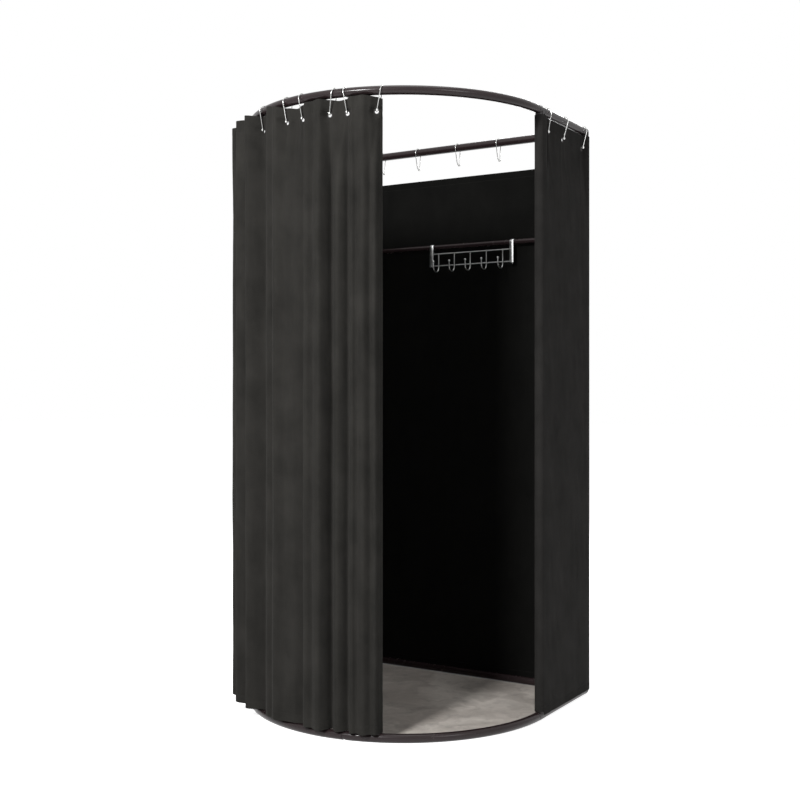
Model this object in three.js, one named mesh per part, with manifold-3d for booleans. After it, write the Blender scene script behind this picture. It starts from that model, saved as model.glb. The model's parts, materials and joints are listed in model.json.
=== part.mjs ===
// Portable fitting room: a D-shaped frame of plug-in steel tube that stands on the floor,
// with cloth walls on three sides and a curtain that draws round the curved front.
// Lengths are millimetres and +Z is up. The floor is z = 0, the curtain faces -Y, and the
// origin is the middle of the frame's footprint.
import * as THREE from 'three';
import { mergeVertices } from 'three/addons/utils/BufferGeometryUtils.js';
import Module from 'manifold-3d';

const wasm = await Module();
wasm.setup();

// Driving dimensions of the frame
const frameWidth = 1040; // between the centres of the side rails
const sideLength = 380; // from a front upright to the rear upright
const frameHeight = 2000;
const tubeDiameter = 28;
const tubeWall = 1.2;
const seatGap = 0.3; // between pieces that touch

// Corner fittings and tube joints
const fittingReach = 22; // from the meeting point of the tubes to where each tube starts
const spigotLength = 35;
const swageLength = 45;
const neckLength = 10;
const arcSeamAngle = 11.7; // degrees from the middle of the front to where the two arc tubes meet
const plugGap = 0.6; // between a plug and the bore it sits in

// Hanging rail between the rear uprights
const railDrop = 369; // from the middle of the top tubes to the middle of the rail
const railDiameter = 18;
const railWall = 1;
const socketLength = 32;
const socketFloor = 7;
const socketWall = 2.4;

// Hook rack that hangs over the rail
const rackWidth = 338; // between the middles of the two straps
const rackCentre = 69;
const strapWidth = 16;
const strapThickness = 1.5;
const strapTail = 8;
const strapFoot = 4;
const rackWireDiameter = 4;
const upperWireDrop = 27; // below the middle of the rail
const lowerWireDrop = 72;
const rackHookCount = 5;
const rackHookBend = 20;
const rackBendDrop = 78;
const rackTipDrop = 60;
const rackBallDiameter = 9;
const rackWeld = 0.6; // how deep the welded wires sink into each other

// Ball-ended wire hooks that carry the cloth
const hookWireDiameter = 3;
const hookBallDiameter = 9;
const hookSlack = 3; // how far the round of the hook hangs below the middle of the tube
const hookDrop = 63; // from the middle of the tube to the eyelet
const hookBallOut = 9;
const hookTipGap = 0.6;
const hookLean = 12; // degrees, how far the cloth pulls a hook along its tube

// Cloth
const clothThickness = 1.5;
const eyeletOut = 2.5; // the cloth's distance outside the middle of the tube, at a hook
const eyeletRadius = 6;
const eyeletMargin = 11; // from an eyelet's middle to where its fold starts
const sideTopDrop = 18; // from the middle of the top tubes to a side panel's top edge
const curtainTopDrop = 21;
const curtainHem = 28;
const panelHem = 17;
const backPanelDrop = 107;
const pocketTail = 34;
const flapLength = 50;
const backPanelInset = 8;
const foldDepth = 46;
const drawInDrop = 260; // below a panel's top edge, where its hooks start to draw it in
const drawnInDrop = 90;
const foldStartDrop = 60; // below the curtain's top edge, where its folds start to deepen
const foldFullDrop = 300;

// Floor mat
const matThickness = 3;
const matGap = 0.8;

// Sections and steps of the round forms
const tubeSides = 12;
const boreSides = 8;
const wireSides = 5;
const eyeletSides = 8;
const arcStepAngle = 4.7; // degrees
const bendStepAngle = 24; // degrees
const matSteps = 36;
const slopeStepAngle = 0.1; // degrees, for finding how the curtain's cloth faces
const nearAngle = 0.12; // degrees, the least step between two columns of the curtain's cloth

// Places that follow from the driving dimensions
const plugShare = Math.cos(Math.PI / boreSides); // a many-sided plug keeps within the bore's flats
const halfWidth = frameWidth / 2;
const tubeRadius = tubeDiameter / 2;
const tubeCorner = tubeRadius / Math.cos(Math.PI / tubeSides);
const boreRadius = tubeRadius - tubeWall;
const boreCorner = evenCorner(boreRadius, boreSides);
const plugCorner = boreCorner - plugGap;
const lowHoop = tubeRadius;
const highHoop = frameHeight - tubeRadius;
const arcRadius = halfWidth; // the front is a half circle that runs on into the side rails
const arcHalfAngle = Math.PI / 2;
const uprightY = (arcRadius - sideLength) / 2;
const backY = uprightY + sideLength;
const arcCentreY = uprightY;
const railRadius = railDiameter / 2;
const railCorner = railRadius / Math.cos(Math.PI / tubeSides);
const railBoreCorner = evenCorner(railRadius - railWall, boreSides);
const wireCorner = evenCorner(hookWireDiameter / 2, wireSides);
const clothSeat = tubeCorner + seatGap + clothThickness / 2; // cloth laid round a tube
const sideTop = highHoop - sideTopDrop;
const backPanelTop = highHoop - backPanelDrop;
const railHeight = highHoop - railDrop;
const curtainTop = highHoop - curtainTopDrop;
const pocketHem = tubeRadius + tubeCorner + 3 * seatGap;

// Places of the hooks, as shares of the side rail and of half the back bar. Hooks lean as
// the cloth pulls them, by a share of hookLean.
const sideHookShares = [0.13, 0.495, 0.93];
const sideLeanShares = [0, 1, 0.85];
const backHookShares = [-0.846, -0.625, -0.317, 0.018, 0.346, 0.673];

// The curtain along the arc, in degrees from the middle of the front, plus to the right.
// Each eyelet has its hook's lean as a share of hookLean.
const curtainEyelets = [-83, -63, -45.5, -28.8, -13.1, -5.4, 5.9, 12.3, 22.6];
const curtainLeanShares = [0, 0.3, -0.4, 0, 0.3, 0.4, -0.92, 0.63, -1];

// Crests and valleys of the curtain: angle, share of the fold depth at the hooks, and
// share of it lower down. Zero is the cloth's place at an eyelet.
const foldShares = [
  [-86.5, 0.1, 0.1], [-83, 0, -0.15], [-73, 0.95, 1], [-63, 0, -0.15], [-52, 1.42, 1.45],
  [-45.5, 0, -0.1], [-40.5, 1.22, 1.25], [-36, 0.5, 0.4], [-32.3, 1.05, 1.1], [-28.8, 0, -0.15],
  [-26, 0.02, -0.1], [-19.7, 0.75, 0.95], [-18, 0.62, 0.75], [-15.9, 0.76, 0.95],
  [-13.1, 0, 0.7], [-9.5, -0.3, 0.8], [-5.4, 0, -0.1], [-2.2, 0.5, 0.55], [-0.2, 0.4, 0.42],
  [3.6, 0.68, 0.75], [5.9, 0, -0.2], [9.1, 0.08, 0.44], [12.3, 0, -0.12], [14.4, 0.6, 0.45],
  [15.6, 0.58, 0.35], [18.9, 0.64, 0.66], [20.7, 0.5, 0.42], [22.6, 0, 0.5], [24.3, -0.3, -0.3],
];

// Finishes
const tubePaint = finish(0x1f1a1a, 0.35, 0.6);
const fittingPaint = finish(0x1c1818, 0.42, 0.5);
const hookSteel = finish(0xd8d8d6, 0.25, 1);
const rackSteel = finish(0xb9bab8, 0.3, 1);
const blackCloth = finish(0x242422, 0.95, 0);
const wallCloth = finish(0x1a1a19, 0.97, 0);
const greyMat = finish(0x8c8a85, 0.8, 0);

const group = new THREE.Group();

function finish(color, roughness, metalness) {
  return new THREE.MeshStandardMaterial({ color, roughness, metalness });
}

function add(name, geometry, material) {
  const mesh = new THREE.Mesh(geometry, material);
  mesh.name = name;
  group.add(mesh);
  return mesh;
}

function smoothStep(share) {
  const held = Math.min(Math.max(share, 0), 1);
  return held * held * (3 - 2 * held);
}

// Solids for cutting and joining
function toSolid(geometry) {
  const bare = geometry.clone();
  bare.deleteAttribute('normal');
  bare.deleteAttribute('uv');
  const merged = mergeVertices(bare);
  return new wasm.Manifold(new wasm.Mesh({
    numProp: 3,
    vertProperties: new Float32Array(merged.attributes.position.array),
    triVerts: new Uint32Array(merged.index.array),
  }));
}

function toGeometry(solid) {
  const mesh = solid.getMesh();
  const geometry = new THREE.BufferGeometry();
  geometry.setAttribute('position', new THREE.BufferAttribute(mesh.vertProperties, mesh.numProp));
  geometry.setIndex(new THREE.BufferAttribute(mesh.triVerts, 1));
  return geometry;
}

function join(geometries) {
  return geometries.map(toSolid).reduce((whole, piece) => whole.add(piece));
}

// A path through chosen points, one step between each two of them
class PointPath extends THREE.Curve {
  constructor(points) {
    super();
    this.points = points;
  }
  getPoint(share) {
    const place = share * (this.points.length - 1);
    const first = Math.min(Math.floor(place), this.points.length - 2);
    return this.points[first].clone().lerp(this.points[first + 1], place - first);
  }
  getPointAt(share) {
    return this.getPoint(share);
  }
  getTangentAt(share) {
    const index = Math.round(share * (this.points.length - 1));
    const before = this.points[Math.max(index - 1, 0)];
    const after = this.points[Math.min(index + 1, this.points.length - 1)];
    return after.clone().sub(before).normalize();
  }
}

// A level stretch of the hoop's curved front, between two angles
class HoopArc extends THREE.Curve {
  constructor(height, from, to) {
    super();
    this.height = height;
    this.from = from;
    this.to = to;
  }
  getPoint(share) {
    return onArc(this.from + (this.to - this.from) * share, 0, this.height);
  }
}

function onArc(angle, out, height) {
  const reach = arcRadius + out;
  return new THREE.Vector3(reach * Math.sin(angle), arcCentreY - reach * Math.cos(angle), height);
}

// The corners of a polygon with the same area as a circle lie a little outside the circle
function evenCorner(radius, sides) {
  const turn = 2 * Math.PI / sides;
  return radius * Math.sqrt(turn / Math.sin(turn));
}

// A round section has a flat facet below, so that a tube lies flat on the floor
function roundSection(corner, sides) {
  const points = [];
  for (let k = 0; k < sides; k += 1) {
    const angle = (k + 0.5) * 2 * Math.PI / sides;
    points.push(new THREE.Vector2(corner * Math.cos(angle), corner * Math.sin(angle)));
  }
  return points;
}

function sweep(path, steps, corner, sides = tubeSides) {
  const shape = new THREE.Shape(roundSection(corner, sides));
  return new THREE.ExtrudeGeometry(shape, { steps, extrudePath: path, bevelEnabled: false });
}

// A hollow tube through stations along a path, each with its own outer corner and bore
function pipe(path, stations) {
  const positions = [];
  const addRing = (share, corner, sides) => {
    const middle = path.getPoint(share);
    const along = path.getTangent(share);
    const up = Math.abs(along.z) > 0.5 ? new THREE.Vector3(0, 1, 0) : new THREE.Vector3(0, 0, 1);
    const across = new THREE.Vector3().crossVectors(along, up).normalize();
    const first = positions.length / 3;
    for (const point of roundSection(corner, sides)) {
      const place = middle.clone().addScaledVector(across, point.x).addScaledVector(up, point.y);
      positions.push(place.x, place.y, place.z);
    }
    return first;
  };
  const outer = stations.map((station) => addRing(station.share, station.corner, tubeSides));
  const inner = stations.map((station) => addRing(station.share, station.bore, boreSides));
  const index = [];
  const wall = (from, to, sides, flip) => {
    for (let k = 0; k < sides; k += 1) {
      const next = (k + 1) % sides;
      const [a, b] = flip ? [next, k] : [k, next];
      index.push(from + b, from + a, to + a, from + b, to + a, to + b);
    }
  };
  for (let k = 0; k + 1 < stations.length; k += 1) {
    wall(outer[k], outer[k + 1], tubeSides, false);
    wall(inner[k], inner[k + 1], boreSides, true);
  }
  for (const end of [0, stations.length - 1]) {
    const contour = roundSection(stations[end].corner, tubeSides);
    const hole = roundSection(stations[end].bore, boreSides).reverse();
    const place = (k) => (k < tubeSides ? outer[end] + k : inner[end] + boreSides - 1 - (k - tubeSides));
    for (const [a, b, c] of THREE.ShapeUtils.triangulateShape(contour, [hole])) {
      if (end === 0) index.push(place(a), place(b), place(c));
      else index.push(place(c), place(b), place(a));
    }
  }
  const geometry = new THREE.BufferGeometry();
  geometry.setAttribute('position', new THREE.Float32BufferAttribute(positions, 3));
  geometry.setIndex(index);
  return geometry;
}

function plainTube(path, steps = 1, corner = tubeCorner, bore = boreCorner) {
  const stations = [];
  for (let k = 0; k <= steps; k += 1) stations.push({ share: k / steps, corner, bore });
  return pipe(path, stations);
}

function straight(from, to) {
  return new THREE.LineCurve3(from, to);
}

// Three-way fittings: a round knuckle, a collar as thick as the tube on each arm, and a
// spigot on each collar that plugs into the tube's bore
function fitting(centre, arms) {
  const knuckle = new THREE.IcosahedronGeometry(tubeRadius, 1);
  knuckle.translate(centre.x, centre.y, centre.z);
  const pieces = [knuckle];
  for (const arm of arms) {
    pieces.push(sweep(arm(fittingReach), 1, tubeCorner));
    pieces.push(sweep(arm(fittingReach + spigotLength), arm.steps, plugCorner, boreSides));
  }
  return toGeometry(join(pieces));
}

function straightArm(centre, direction) {
  const arm = (length) => straight(centre, centre.clone().addScaledVector(direction, length));
  arm.steps = 1;
  return arm;
}

function arcArm(height, side) {
  const end = side * arcHalfAngle;
  const arm = (length) => new HoopArc(height, end, end - side * length / arcRadius);
  arm.steps = 3;
  return arm;
}

function buildFittings() {
  for (const [level, height, up] of [['lower', lowHoop, 1], ['upper', highHoop, -1]]) {
    const vertical = new THREE.Vector3(0, 0, up);
    for (const [side, sign] of [['left', -1], ['right', 1]]) {
      const front = new THREE.Vector3(sign * halfWidth, uprightY, height);
      add(`${level}_tee_${side}`, fitting(front, [
        arcArm(height, sign),
        straightArm(front, new THREE.Vector3(0, 1, 0)),
        straightArm(front, vertical),
      ]), fittingPaint);
      const rear = new THREE.Vector3(sign * halfWidth, backY, height);
      add(`${level}_corner_${side}`, fitting(rear, [
        straightArm(rear, new THREE.Vector3(0, -1, 0)),
        straightArm(rear, new THREE.Vector3(-sign, 0, 0)),
        straightArm(rear, vertical),
      ]), fittingPaint);
    }
  }
}

function arcSteps(angle) {
  return Math.ceil(THREE.MathUtils.radToDeg(angle) / arcStepAngle);
}

// The left part of a hoop's front, which ends in a swaged neck and a plug
function plugArc(height, arcStart) {
  const seam = THREE.MathUtils.degToRad(arcSeamAngle);
  const tubeEnd = seam - seatGap / arcRadius;
  const neckStart = tubeEnd - neckLength / arcRadius;
  const plugEnd = seam + swageLength / arcRadius;
  const steps = arcSteps(neckStart + arcStart);
  const shareOf = (angle) => (angle + arcStart) / (plugEnd + arcStart);
  const stations = [];
  for (let k = 0; k <= steps; k += 1) {
    const angle = -arcStart + (neckStart + arcStart) * k / steps;
    stations.push({ share: shareOf(angle), corner: tubeCorner, bore: boreCorner });
  }
  for (const angle of [tubeEnd, (tubeEnd + plugEnd) / 2, plugEnd]) {
    stations.push({ share: shareOf(angle), corner: plugCorner * plugShare, bore: plugCorner * plugShare - tubeWall });
  }
  return pipe(new HoopArc(height, -arcStart, plugEnd), stations);
}

// Tubes of the two hoops. Each left arc ends in a swaged neck that plugs into the right arc.
function buildHoops() {
  const clear = fittingReach + seatGap;
  const arcStart = arcHalfAngle - clear / arcRadius;
  for (const [level, height] of [['lower', lowHoop], ['upper', highHoop]]) {
    add(`${level}_arc_left`, plugArc(height, arcStart), tubePaint);
    const seam = THREE.MathUtils.degToRad(arcSeamAngle);
    const right = new HoopArc(height, seam, arcStart);
    add(`${level}_arc_right`, plainTube(right, arcSteps(arcStart - seam)), tubePaint);
    for (const [side, sign] of [['left', -1], ['right', 1]]) {
      const path = straight(
        new THREE.Vector3(sign * halfWidth, uprightY + clear, height),
        new THREE.Vector3(sign * halfWidth, backY - clear, height),
      );
      add(`${level}_side_rail_${side}`, plainTube(path), tubePaint);
    }
    const bar = straight(
      new THREE.Vector3(-halfWidth + clear, backY, height),
      new THREE.Vector3(halfWidth - clear, backY, height),
    );
    add(`${level}_back_bar`, plainTube(bar), tubePaint);
  }
}

function buildUprights() {
  const clear = fittingReach + seatGap;
  for (const [end, y] of [['front', uprightY], ['rear', backY]]) {
    for (const [side, sign] of [['left', -1], ['right', 1]]) {
      const path = straight(
        new THREE.Vector3(sign * halfWidth, y, lowHoop + clear),
        new THREE.Vector3(sign * halfWidth, y, highHoop - clear),
      );
      add(`${end}_upright_${side}`, plainTube(path), tubePaint);
    }
  }
}

// Hanging rail, and the saddle sockets that are screwed to the rear uprights
function buildRail() {
  const seat = halfWidth - tubeCorner - seatGap - socketFloor;
  const end = seat - seatGap;
  const path = straight(new THREE.Vector3(-end, backY, railHeight), new THREE.Vector3(end, backY, railHeight));
  add('hanging_rail', plainTube(path, 1, railCorner, railBoreCorner), tubePaint);
  const mouth = halfWidth - tubeCorner - seatGap - socketLength;
  for (const [side, sign] of [['left', -1], ['right', 1]]) {
    const axis = (x) => new THREE.Vector3(sign * x, backY, railHeight);
    const body = sweep(straight(axis(halfWidth), axis(mouth)), 1, railCorner + seatGap + socketWall);
    const bore = sweep(straight(axis(seat), axis(mouth - socketWall)), 1, railCorner + seatGap);
    const upright = sweep(straight(
      new THREE.Vector3(sign * halfWidth, backY, railHeight - tubeDiameter),
      new THREE.Vector3(sign * halfWidth, backY, railHeight + tubeDiameter),
    ), 1, tubeCorner + seatGap);
    const beyond = new THREE.BoxGeometry(tubeDiameter, 2 * tubeDiameter, 2 * tubeDiameter);
    beyond.translate(sign * (halfWidth + tubeRadius), backY, railHeight);
    const socket = toSolid(body).subtract(toSolid(bore)).subtract(toSolid(upright)).subtract(toSolid(beyond));
    add(`rail_socket_${side}`, toGeometry(socket), fittingPaint);
  }
}

// Hook rack: two bent straps over the rail, two wires, and five hooks welded to the wires
function rackStrap(x) {
  const inner = railCorner + seatGap;
  const outer = inner + strapThickness;
  const foot = -(lowerWireDrop + strapFoot);
  const shape = new THREE.Shape();
  shape.moveTo(outer, foot);
  shape.lineTo(outer, 0);
  shape.absarc(0, 0, outer, 0, Math.PI, false);
  shape.lineTo(-outer, -strapTail);
  shape.lineTo(-inner, -strapTail);
  shape.lineTo(-inner, 0);
  shape.absarc(0, 0, inner, Math.PI, 0, true);
  shape.lineTo(inner, foot);
  shape.closePath();
  const strap = new THREE.ExtrudeGeometry(shape, { depth: strapWidth, bevelEnabled: false, curveSegments: 6 });
  strap.rotateX(Math.PI / 2);
  strap.rotateZ(-Math.PI / 2);
  strap.translate(x + strapWidth / 2, backY, railHeight);
  return strap;
}

function rackHook(x, wireOut) {
  const radius = rackWireDiameter / 2;
  const stemOut = wireOut + rackWireDiameter - rackWeld;
  const at = (out, drop) => new THREE.Vector3(x, backY - out, railHeight - drop);
  const points = [at(stemOut, upperWireDrop - radius), at(stemOut, rackBendDrop)];
  for (let angle = 2 * bendStepAngle; angle <= 180; angle += 2 * bendStepAngle) {
    const turn = THREE.MathUtils.degToRad(angle);
    const out = stemOut + rackHookBend * (1 - Math.cos(turn));
    points.push(at(out, rackBendDrop + rackHookBend * Math.sin(turn)));
  }
  points.push(at(stemOut + 2 * rackHookBend, rackTipDrop));
  const ball = new THREE.SphereGeometry(rackBallDiameter / 2, 6, 5);
  const tip = points[points.length - 1];
  ball.translate(tip.x, tip.y, tip.z);
  return [sweep(new PointPath(points), points.length - 1, evenCorner(radius, wireSides), wireSides), ball];
}

function buildRack() {
  const radius = rackWireDiameter / 2;
  const wireOut = railCorner + seatGap + strapThickness / 2;
  const left = rackCentre - rackWidth / 2;
  const right = rackCentre + rackWidth / 2;
  const pieces = [rackStrap(left), rackStrap(right)];
  for (const drop of [upperWireDrop, lowerWireDrop]) {
    const path = straight(
      new THREE.Vector3(left - strapWidth / 4, backY - wireOut, railHeight - drop),
      new THREE.Vector3(right + strapWidth / 4, backY - wireOut, railHeight - drop),
    );
    pieces.push(sweep(path, 1, radius, wireSides + 1));
  }
  const pitch = rackWidth / rackHookCount;
  for (let k = 0; k < rackHookCount; k += 1) pieces.push(...rackHook(left + (k + 0.5) * pitch, wireOut));
  add('hook_rack', toGeometry(join(pieces)), rackSteel);
}

// Wire hook, in its own frame: X points outward from the tube, Y runs along the tube and
// the origin is the middle of the tube. It goes over the tube, down behind the cloth and
// out through the eyelet to the ball that closes it.
function hookPoints() {
  const round = tubeCorner + seatGap + hookSlack + wireCorner;
  const ballInside = hookBallOut - hookBallDiameter / 2;
  const at = (out, height) => new THREE.Vector3(out, 0, height);
  const points = [at(hookBallOut, -hookDrop), at((round + hookBallOut) / 2, -hookDrop / 2)];
  for (let angle = -bendStepAngle; angle <= 180 + bendStepAngle; angle += bendStepAngle) {
    const turn = THREE.MathUtils.degToRad(angle);
    points.push(at(round * Math.cos(turn), round * Math.sin(turn) - hookSlack));
  }
  points.push(at(-0.72 * round, -0.48 * hookDrop));
  points.push(at(-0.42 * round, -0.8 * hookDrop));
  points.push(at(-0.16 * round, -0.96 * hookDrop));
  points.push(at(eyeletOut - clothThickness / 2, -hookDrop));
  points.push(at(ballInside - hookTipGap, -hookDrop));
  return points;
}

function hookGeometry() {
  const points = hookPoints();
  const wire = sweep(new PointPath(points), points.length - 1, wireCorner, wireSides);
  const ball = new THREE.SphereGeometry(hookBallDiameter / 2, 6, 5);
  ball.translate(hookBallOut, 0, -hookDrop);
  return toGeometry(join([wire, ball]));
}

// A hook that leans along its tube stands a little higher, as its round is slanted
function hookPlacement(middle, heading, lean) {
  const turn = THREE.MathUtils.degToRad(lean);
  const lift = tubeRadius * (1 / Math.cos(turn) - 1);
  const matrix = new THREE.Matrix4().makeTranslation(middle.x, middle.y, middle.z + lift);
  matrix.multiply(new THREE.Matrix4().makeRotationZ(heading));
  matrix.multiply(new THREE.Matrix4().makeRotationX(turn));
  return matrix;
}

const hookForm = hookGeometry();

function addHook(name, placement) {
  const mesh = add(name, hookForm, hookSteel);
  placement.decompose(mesh.position, mesh.quaternion, mesh.scale);
}

// The hole for a hook hangs on the hook's wire, where the wire passes through the cloth
function eyeletCut(placement) {
  const halfTurn = Math.PI / eyeletSides;
  const drop = -hookDrop + wireCorner + seatGap - eyeletRadius * Math.cos(halfTurn);
  const hole = new THREE.CylinderGeometry(eyeletRadius, eyeletRadius, 8 * clothThickness, eyeletSides);
  hole.rotateZ(Math.PI / 2);
  hole.rotateX(halfTurn);
  hole.translate(eyeletOut, 0, drop);
  hole.applyMatrix4(placement);
  return toSolid(hole);
}

// The direction square to the cloth, to the right of the way from one point to another
function squareTo(from, to) {
  return new THREE.Vector3(to.y - from.y, from.x - to.x, 0).normalize();
}

function outwardOf(grid) {
  const last = grid.length - 1;
  return grid.map((column, i) => column.map((point, j) => (
    squareTo(grid[Math.max(i - 1, 0)][j], grid[Math.min(i + 1, last)][j])
  )));
}

// A sheet of cloth as a thin solid. Column i runs along the cloth and row j runs up it,
// and the outer face lies to the right of the direction in which the columns run.
function clothSolid(grid, outward = outwardOf(grid)) {
  const columns = grid.length;
  const rows = grid[0].length;
  const positions = [];
  for (const side of [1, -1]) {
    for (let i = 0; i < columns; i += 1) {
      for (let j = 0; j < rows; j += 1) {
        const point = grid[i][j].clone().addScaledVector(outward[i][j], side * clothThickness / 2);
        positions.push(point.x, point.y, point.z);
      }
    }
  }
  const outer = (i, j) => i * rows + j;
  const inner = (i, j) => columns * rows + i * rows + j;
  const index = [];
  const quad = (a, b, c, d) => index.push(a, b, c, a, c, d);
  for (let i = 0; i + 1 < columns; i += 1) {
    for (let j = 0; j + 1 < rows; j += 1) {
      quad(outer(i, j), outer(i + 1, j), outer(i + 1, j + 1), outer(i, j + 1));
      quad(inner(i, j + 1), inner(i + 1, j + 1), inner(i + 1, j), inner(i, j));
    }
    quad(outer(i + 1, 0), outer(i, 0), inner(i, 0), inner(i + 1, 0));
    quad(outer(i, rows - 1), outer(i + 1, rows - 1), inner(i + 1, rows - 1), inner(i, rows - 1));
  }
  for (let j = 0; j + 1 < rows; j += 1) {
    quad(outer(0, j), outer(0, j + 1), inner(0, j + 1), inner(0, j));
    quad(outer(columns - 1, j), inner(columns - 1, j), inner(columns - 1, j + 1), outer(columns - 1, j + 1));
  }
  const geometry = new THREE.BufferGeometry();
  geometry.setAttribute('position', new THREE.Float32BufferAttribute(positions, 3));
  geometry.setIndex(index);
  return geometry;
}

// Side panel. In plan it is a teardrop pocket round the front upright, the flat wall, a
// quarter turn round the rear upright and a flap along the back. Its hooks draw the top in.
function sidePlan() {
  const plan = [];
  const tailOut = clothSeat - clothThickness - seatGap;
  const tailAngle = Math.atan2(pocketTail, tailOut);
  const wrapStart = tailAngle + Math.acos(clothSeat / Math.hypot(pocketTail, tailOut));
  plan.push({ out: tailOut, along: pocketTail, hem: pocketHem });
  const turns = 10;
  for (let k = 0; k <= turns; k += 1) {
    const angle = wrapStart + (2 * Math.PI - wrapStart) * k / turns;
    plan.push({ out: clothSeat * Math.cos(angle), along: clothSeat * Math.sin(angle), hem: pocketHem });
  }
  const spanStart = clothSeat;
  const spanEnd = sideLength - 2 * clothSeat;
  const steps = 10;
  for (let k = 0; k <= steps; k += 1) {
    plan.push({ out: clothSeat, along: spanStart + (spanEnd - spanStart) * k / steps, hem: panelHem, flat: true });
  }
  for (let k = 1; k <= 3; k += 1) {
    const along = spanEnd + (sideLength - spanEnd) * k / 3;
    plan.push({ out: clothSeat, along, hem: panelHem, flat: true });
  }
  for (let k = 1; k <= 4; k += 1) {
    const angle = Math.PI / 2 * k / 4;
    plan.push({ out: clothSeat * Math.cos(angle), along: sideLength + clothSeat * Math.sin(angle), hem: panelHem });
  }
  plan.push({ out: -flapLength, along: sideLength + clothSeat, hem: panelHem });
  return plan;
}

function sidePanelGrid(sign) {
  const drops = [0, drawnInDrop, (drawInDrop + drawnInDrop) / 2, drawInDrop];
  const grid = sidePlan().map((place) => {
    const heights = [place.hem, (place.hem + sideTop - drawInDrop) / 2];
    for (const drop of drops.slice().reverse()) heights.push(sideTop - drop);
    return heights.map((height) => {
      const depth = drawInDepth(place, sideTop - height);
      return new THREE.Vector3(sign * (halfWidth + place.out - depth), uprightY + place.along, height);
    });
  });
  return sign > 0 ? grid : grid.reverse();
}

function drawInDepth(place, drop) {
  if (!place.flat) return 0;
  const full = clothSeat - eyeletOut;
  const front = smoothStep((place.along - clothSeat) / (2.4 * clothSeat));
  const rear = smoothStep((sideLength - clothSeat / 3 - place.along) / (1.4 * clothSeat));
  const high = smoothStep((drawInDrop - drop) / (drawInDrop - drawnInDrop));
  return full * front * rear * high;
}

function buildSidePanels() {
  for (const [side, sign] of [['left', -1], ['right', 1]]) {
    let panel = toSolid(clothSolid(sidePanelGrid(sign)));
    sideHookShares.forEach((share, k) => {
      const middle = new THREE.Vector3(sign * halfWidth, uprightY + share * sideLength, highHoop);
      const heading = sign > 0 ? 0 : Math.PI;
      const placement = hookPlacement(middle, heading, -sign * hookLean * sideLeanShares[k]);
      addHook(`side_hook_${side}_${k + 1}`, placement);
      panel = panel.subtract(eyeletCut(placement));
    });
    add(`side_panel_${side}`, toGeometry(panel), wallCloth);
  }
}

// Back panel, laid outside the flaps of the side panels and ending well below the back bar
function buildBackPanel() {
  const reach = halfWidth - backPanelInset;
  const y = backY + clothSeat + clothThickness + seatGap;
  const columns = 6;
  const grid = [];
  for (let k = 0; k <= columns; k += 1) {
    const x = reach - 2 * reach * k / columns;
    grid.push([panelHem, backPanelTop].map((height) => new THREE.Vector3(x, y, height)));
  }
  add('back_panel', clothSolid(grid), wallCloth);
}

function buildBackHooks() {
  backHookShares.forEach((share, k) => {
    const middle = new THREE.Vector3(share * halfWidth, backY, highHoop);
    addHook(`back_hook_${k + 1}`, hookPlacement(middle, Math.PI / 2, 0));
  });
}

// Curtain: one piece of cloth, made here as one fold from each hook's eyelet to the next
function foldOut(angle, drop) {
  const last = foldShares.length - 1;
  let k = 0;
  while (k < last - 1 && angle > foldShares[k + 1][0]) k += 1;
  const [from, fromTop, fromLow] = foldShares[k];
  const [to, toTop, toLow] = foldShares[k + 1];
  const along = smoothStep((angle - from) / (to - from));
  const top = fromTop + (toTop - fromTop) * along;
  const low = fromLow + (toLow - fromLow) * along;
  const settled = smoothStep((drop - foldStartDrop) / (foldFullDrop - foldStartDrop));
  return eyeletOut + foldDepth * (top + (low - top) * settled);
}

function onFold(angle, height) {
  return onArc(THREE.MathUtils.degToRad(angle), foldOut(angle, curtainTop - height), height);
}

function foldColumns(from, to, eyelet) {
  const turn = THREE.MathUtils.radToDeg(eyeletRadius / arcRadius);
  const marks = [eyelet - turn, eyelet - turn / 2, eyelet + turn / 2, eyelet + turn];
  const shares = [1 / 3, 2 / 3, 1];
  for (let k = 0; k + 1 < foldShares.length; k += 1) {
    const [start] = foldShares[k];
    const [end] = foldShares[k + 1];
    for (const share of shares) marks.push(start + (end - start) * share);
  }
  const between = marks.filter((angle) => angle > from + nearAngle && angle < to - nearAngle);
  between.sort((a, b) => a - b);
  return [from, ...between.filter((angle, k) => k === 0 || angle - between[k - 1] > nearAngle), to];
}

function buildCurtain() {
  const drops = [0, foldStartDrop, (foldStartDrop + foldFullDrop) / 2, foldFullDrop];
  const heights = [curtainHem, ...drops.reverse().map((drop) => curtainTop - drop)];
  const [first] = foldShares[0];
  const [last] = foldShares[foldShares.length - 1];
  const halfGap = THREE.MathUtils.radToDeg(seatGap / 2 / arcRadius);
  const margin = THREE.MathUtils.radToDeg(eyeletMargin / arcRadius);
  curtainEyelets.forEach((eyelet, k) => {
    const before = k === 0 ? first : eyelet - margin + halfGap;
    const after = k === curtainEyelets.length - 1 ? last : curtainEyelets[k + 1] - margin - halfGap;
    const angles = foldColumns(before, after, eyelet);
    const grid = angles.map((angle) => heights.map((height) => onFold(angle, height)));
    const outward = angles.map((angle) => heights.map((height) => (
      squareTo(onFold(angle - slopeStepAngle, height), onFold(angle + slopeStepAngle, height))
    )));
    const lean = curtainLeanShares[k] * hookLean;
    const swing = hookDrop * Math.sin(THREE.MathUtils.degToRad(lean));
    const station = THREE.MathUtils.degToRad(eyelet) - Math.atan2(swing, arcRadius + eyeletOut);
    const placement = hookPlacement(onArc(station, 0, highHoop), station - Math.PI / 2, lean);
    addHook(`curtain_hook_${k + 1}`, placement);
    const fold = toSolid(clothSolid(grid, outward)).subtract(eyeletCut(placement));
    add(`curtain_fold_${k + 1}`, toGeometry(fold), blackCloth);
  });
}

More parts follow.
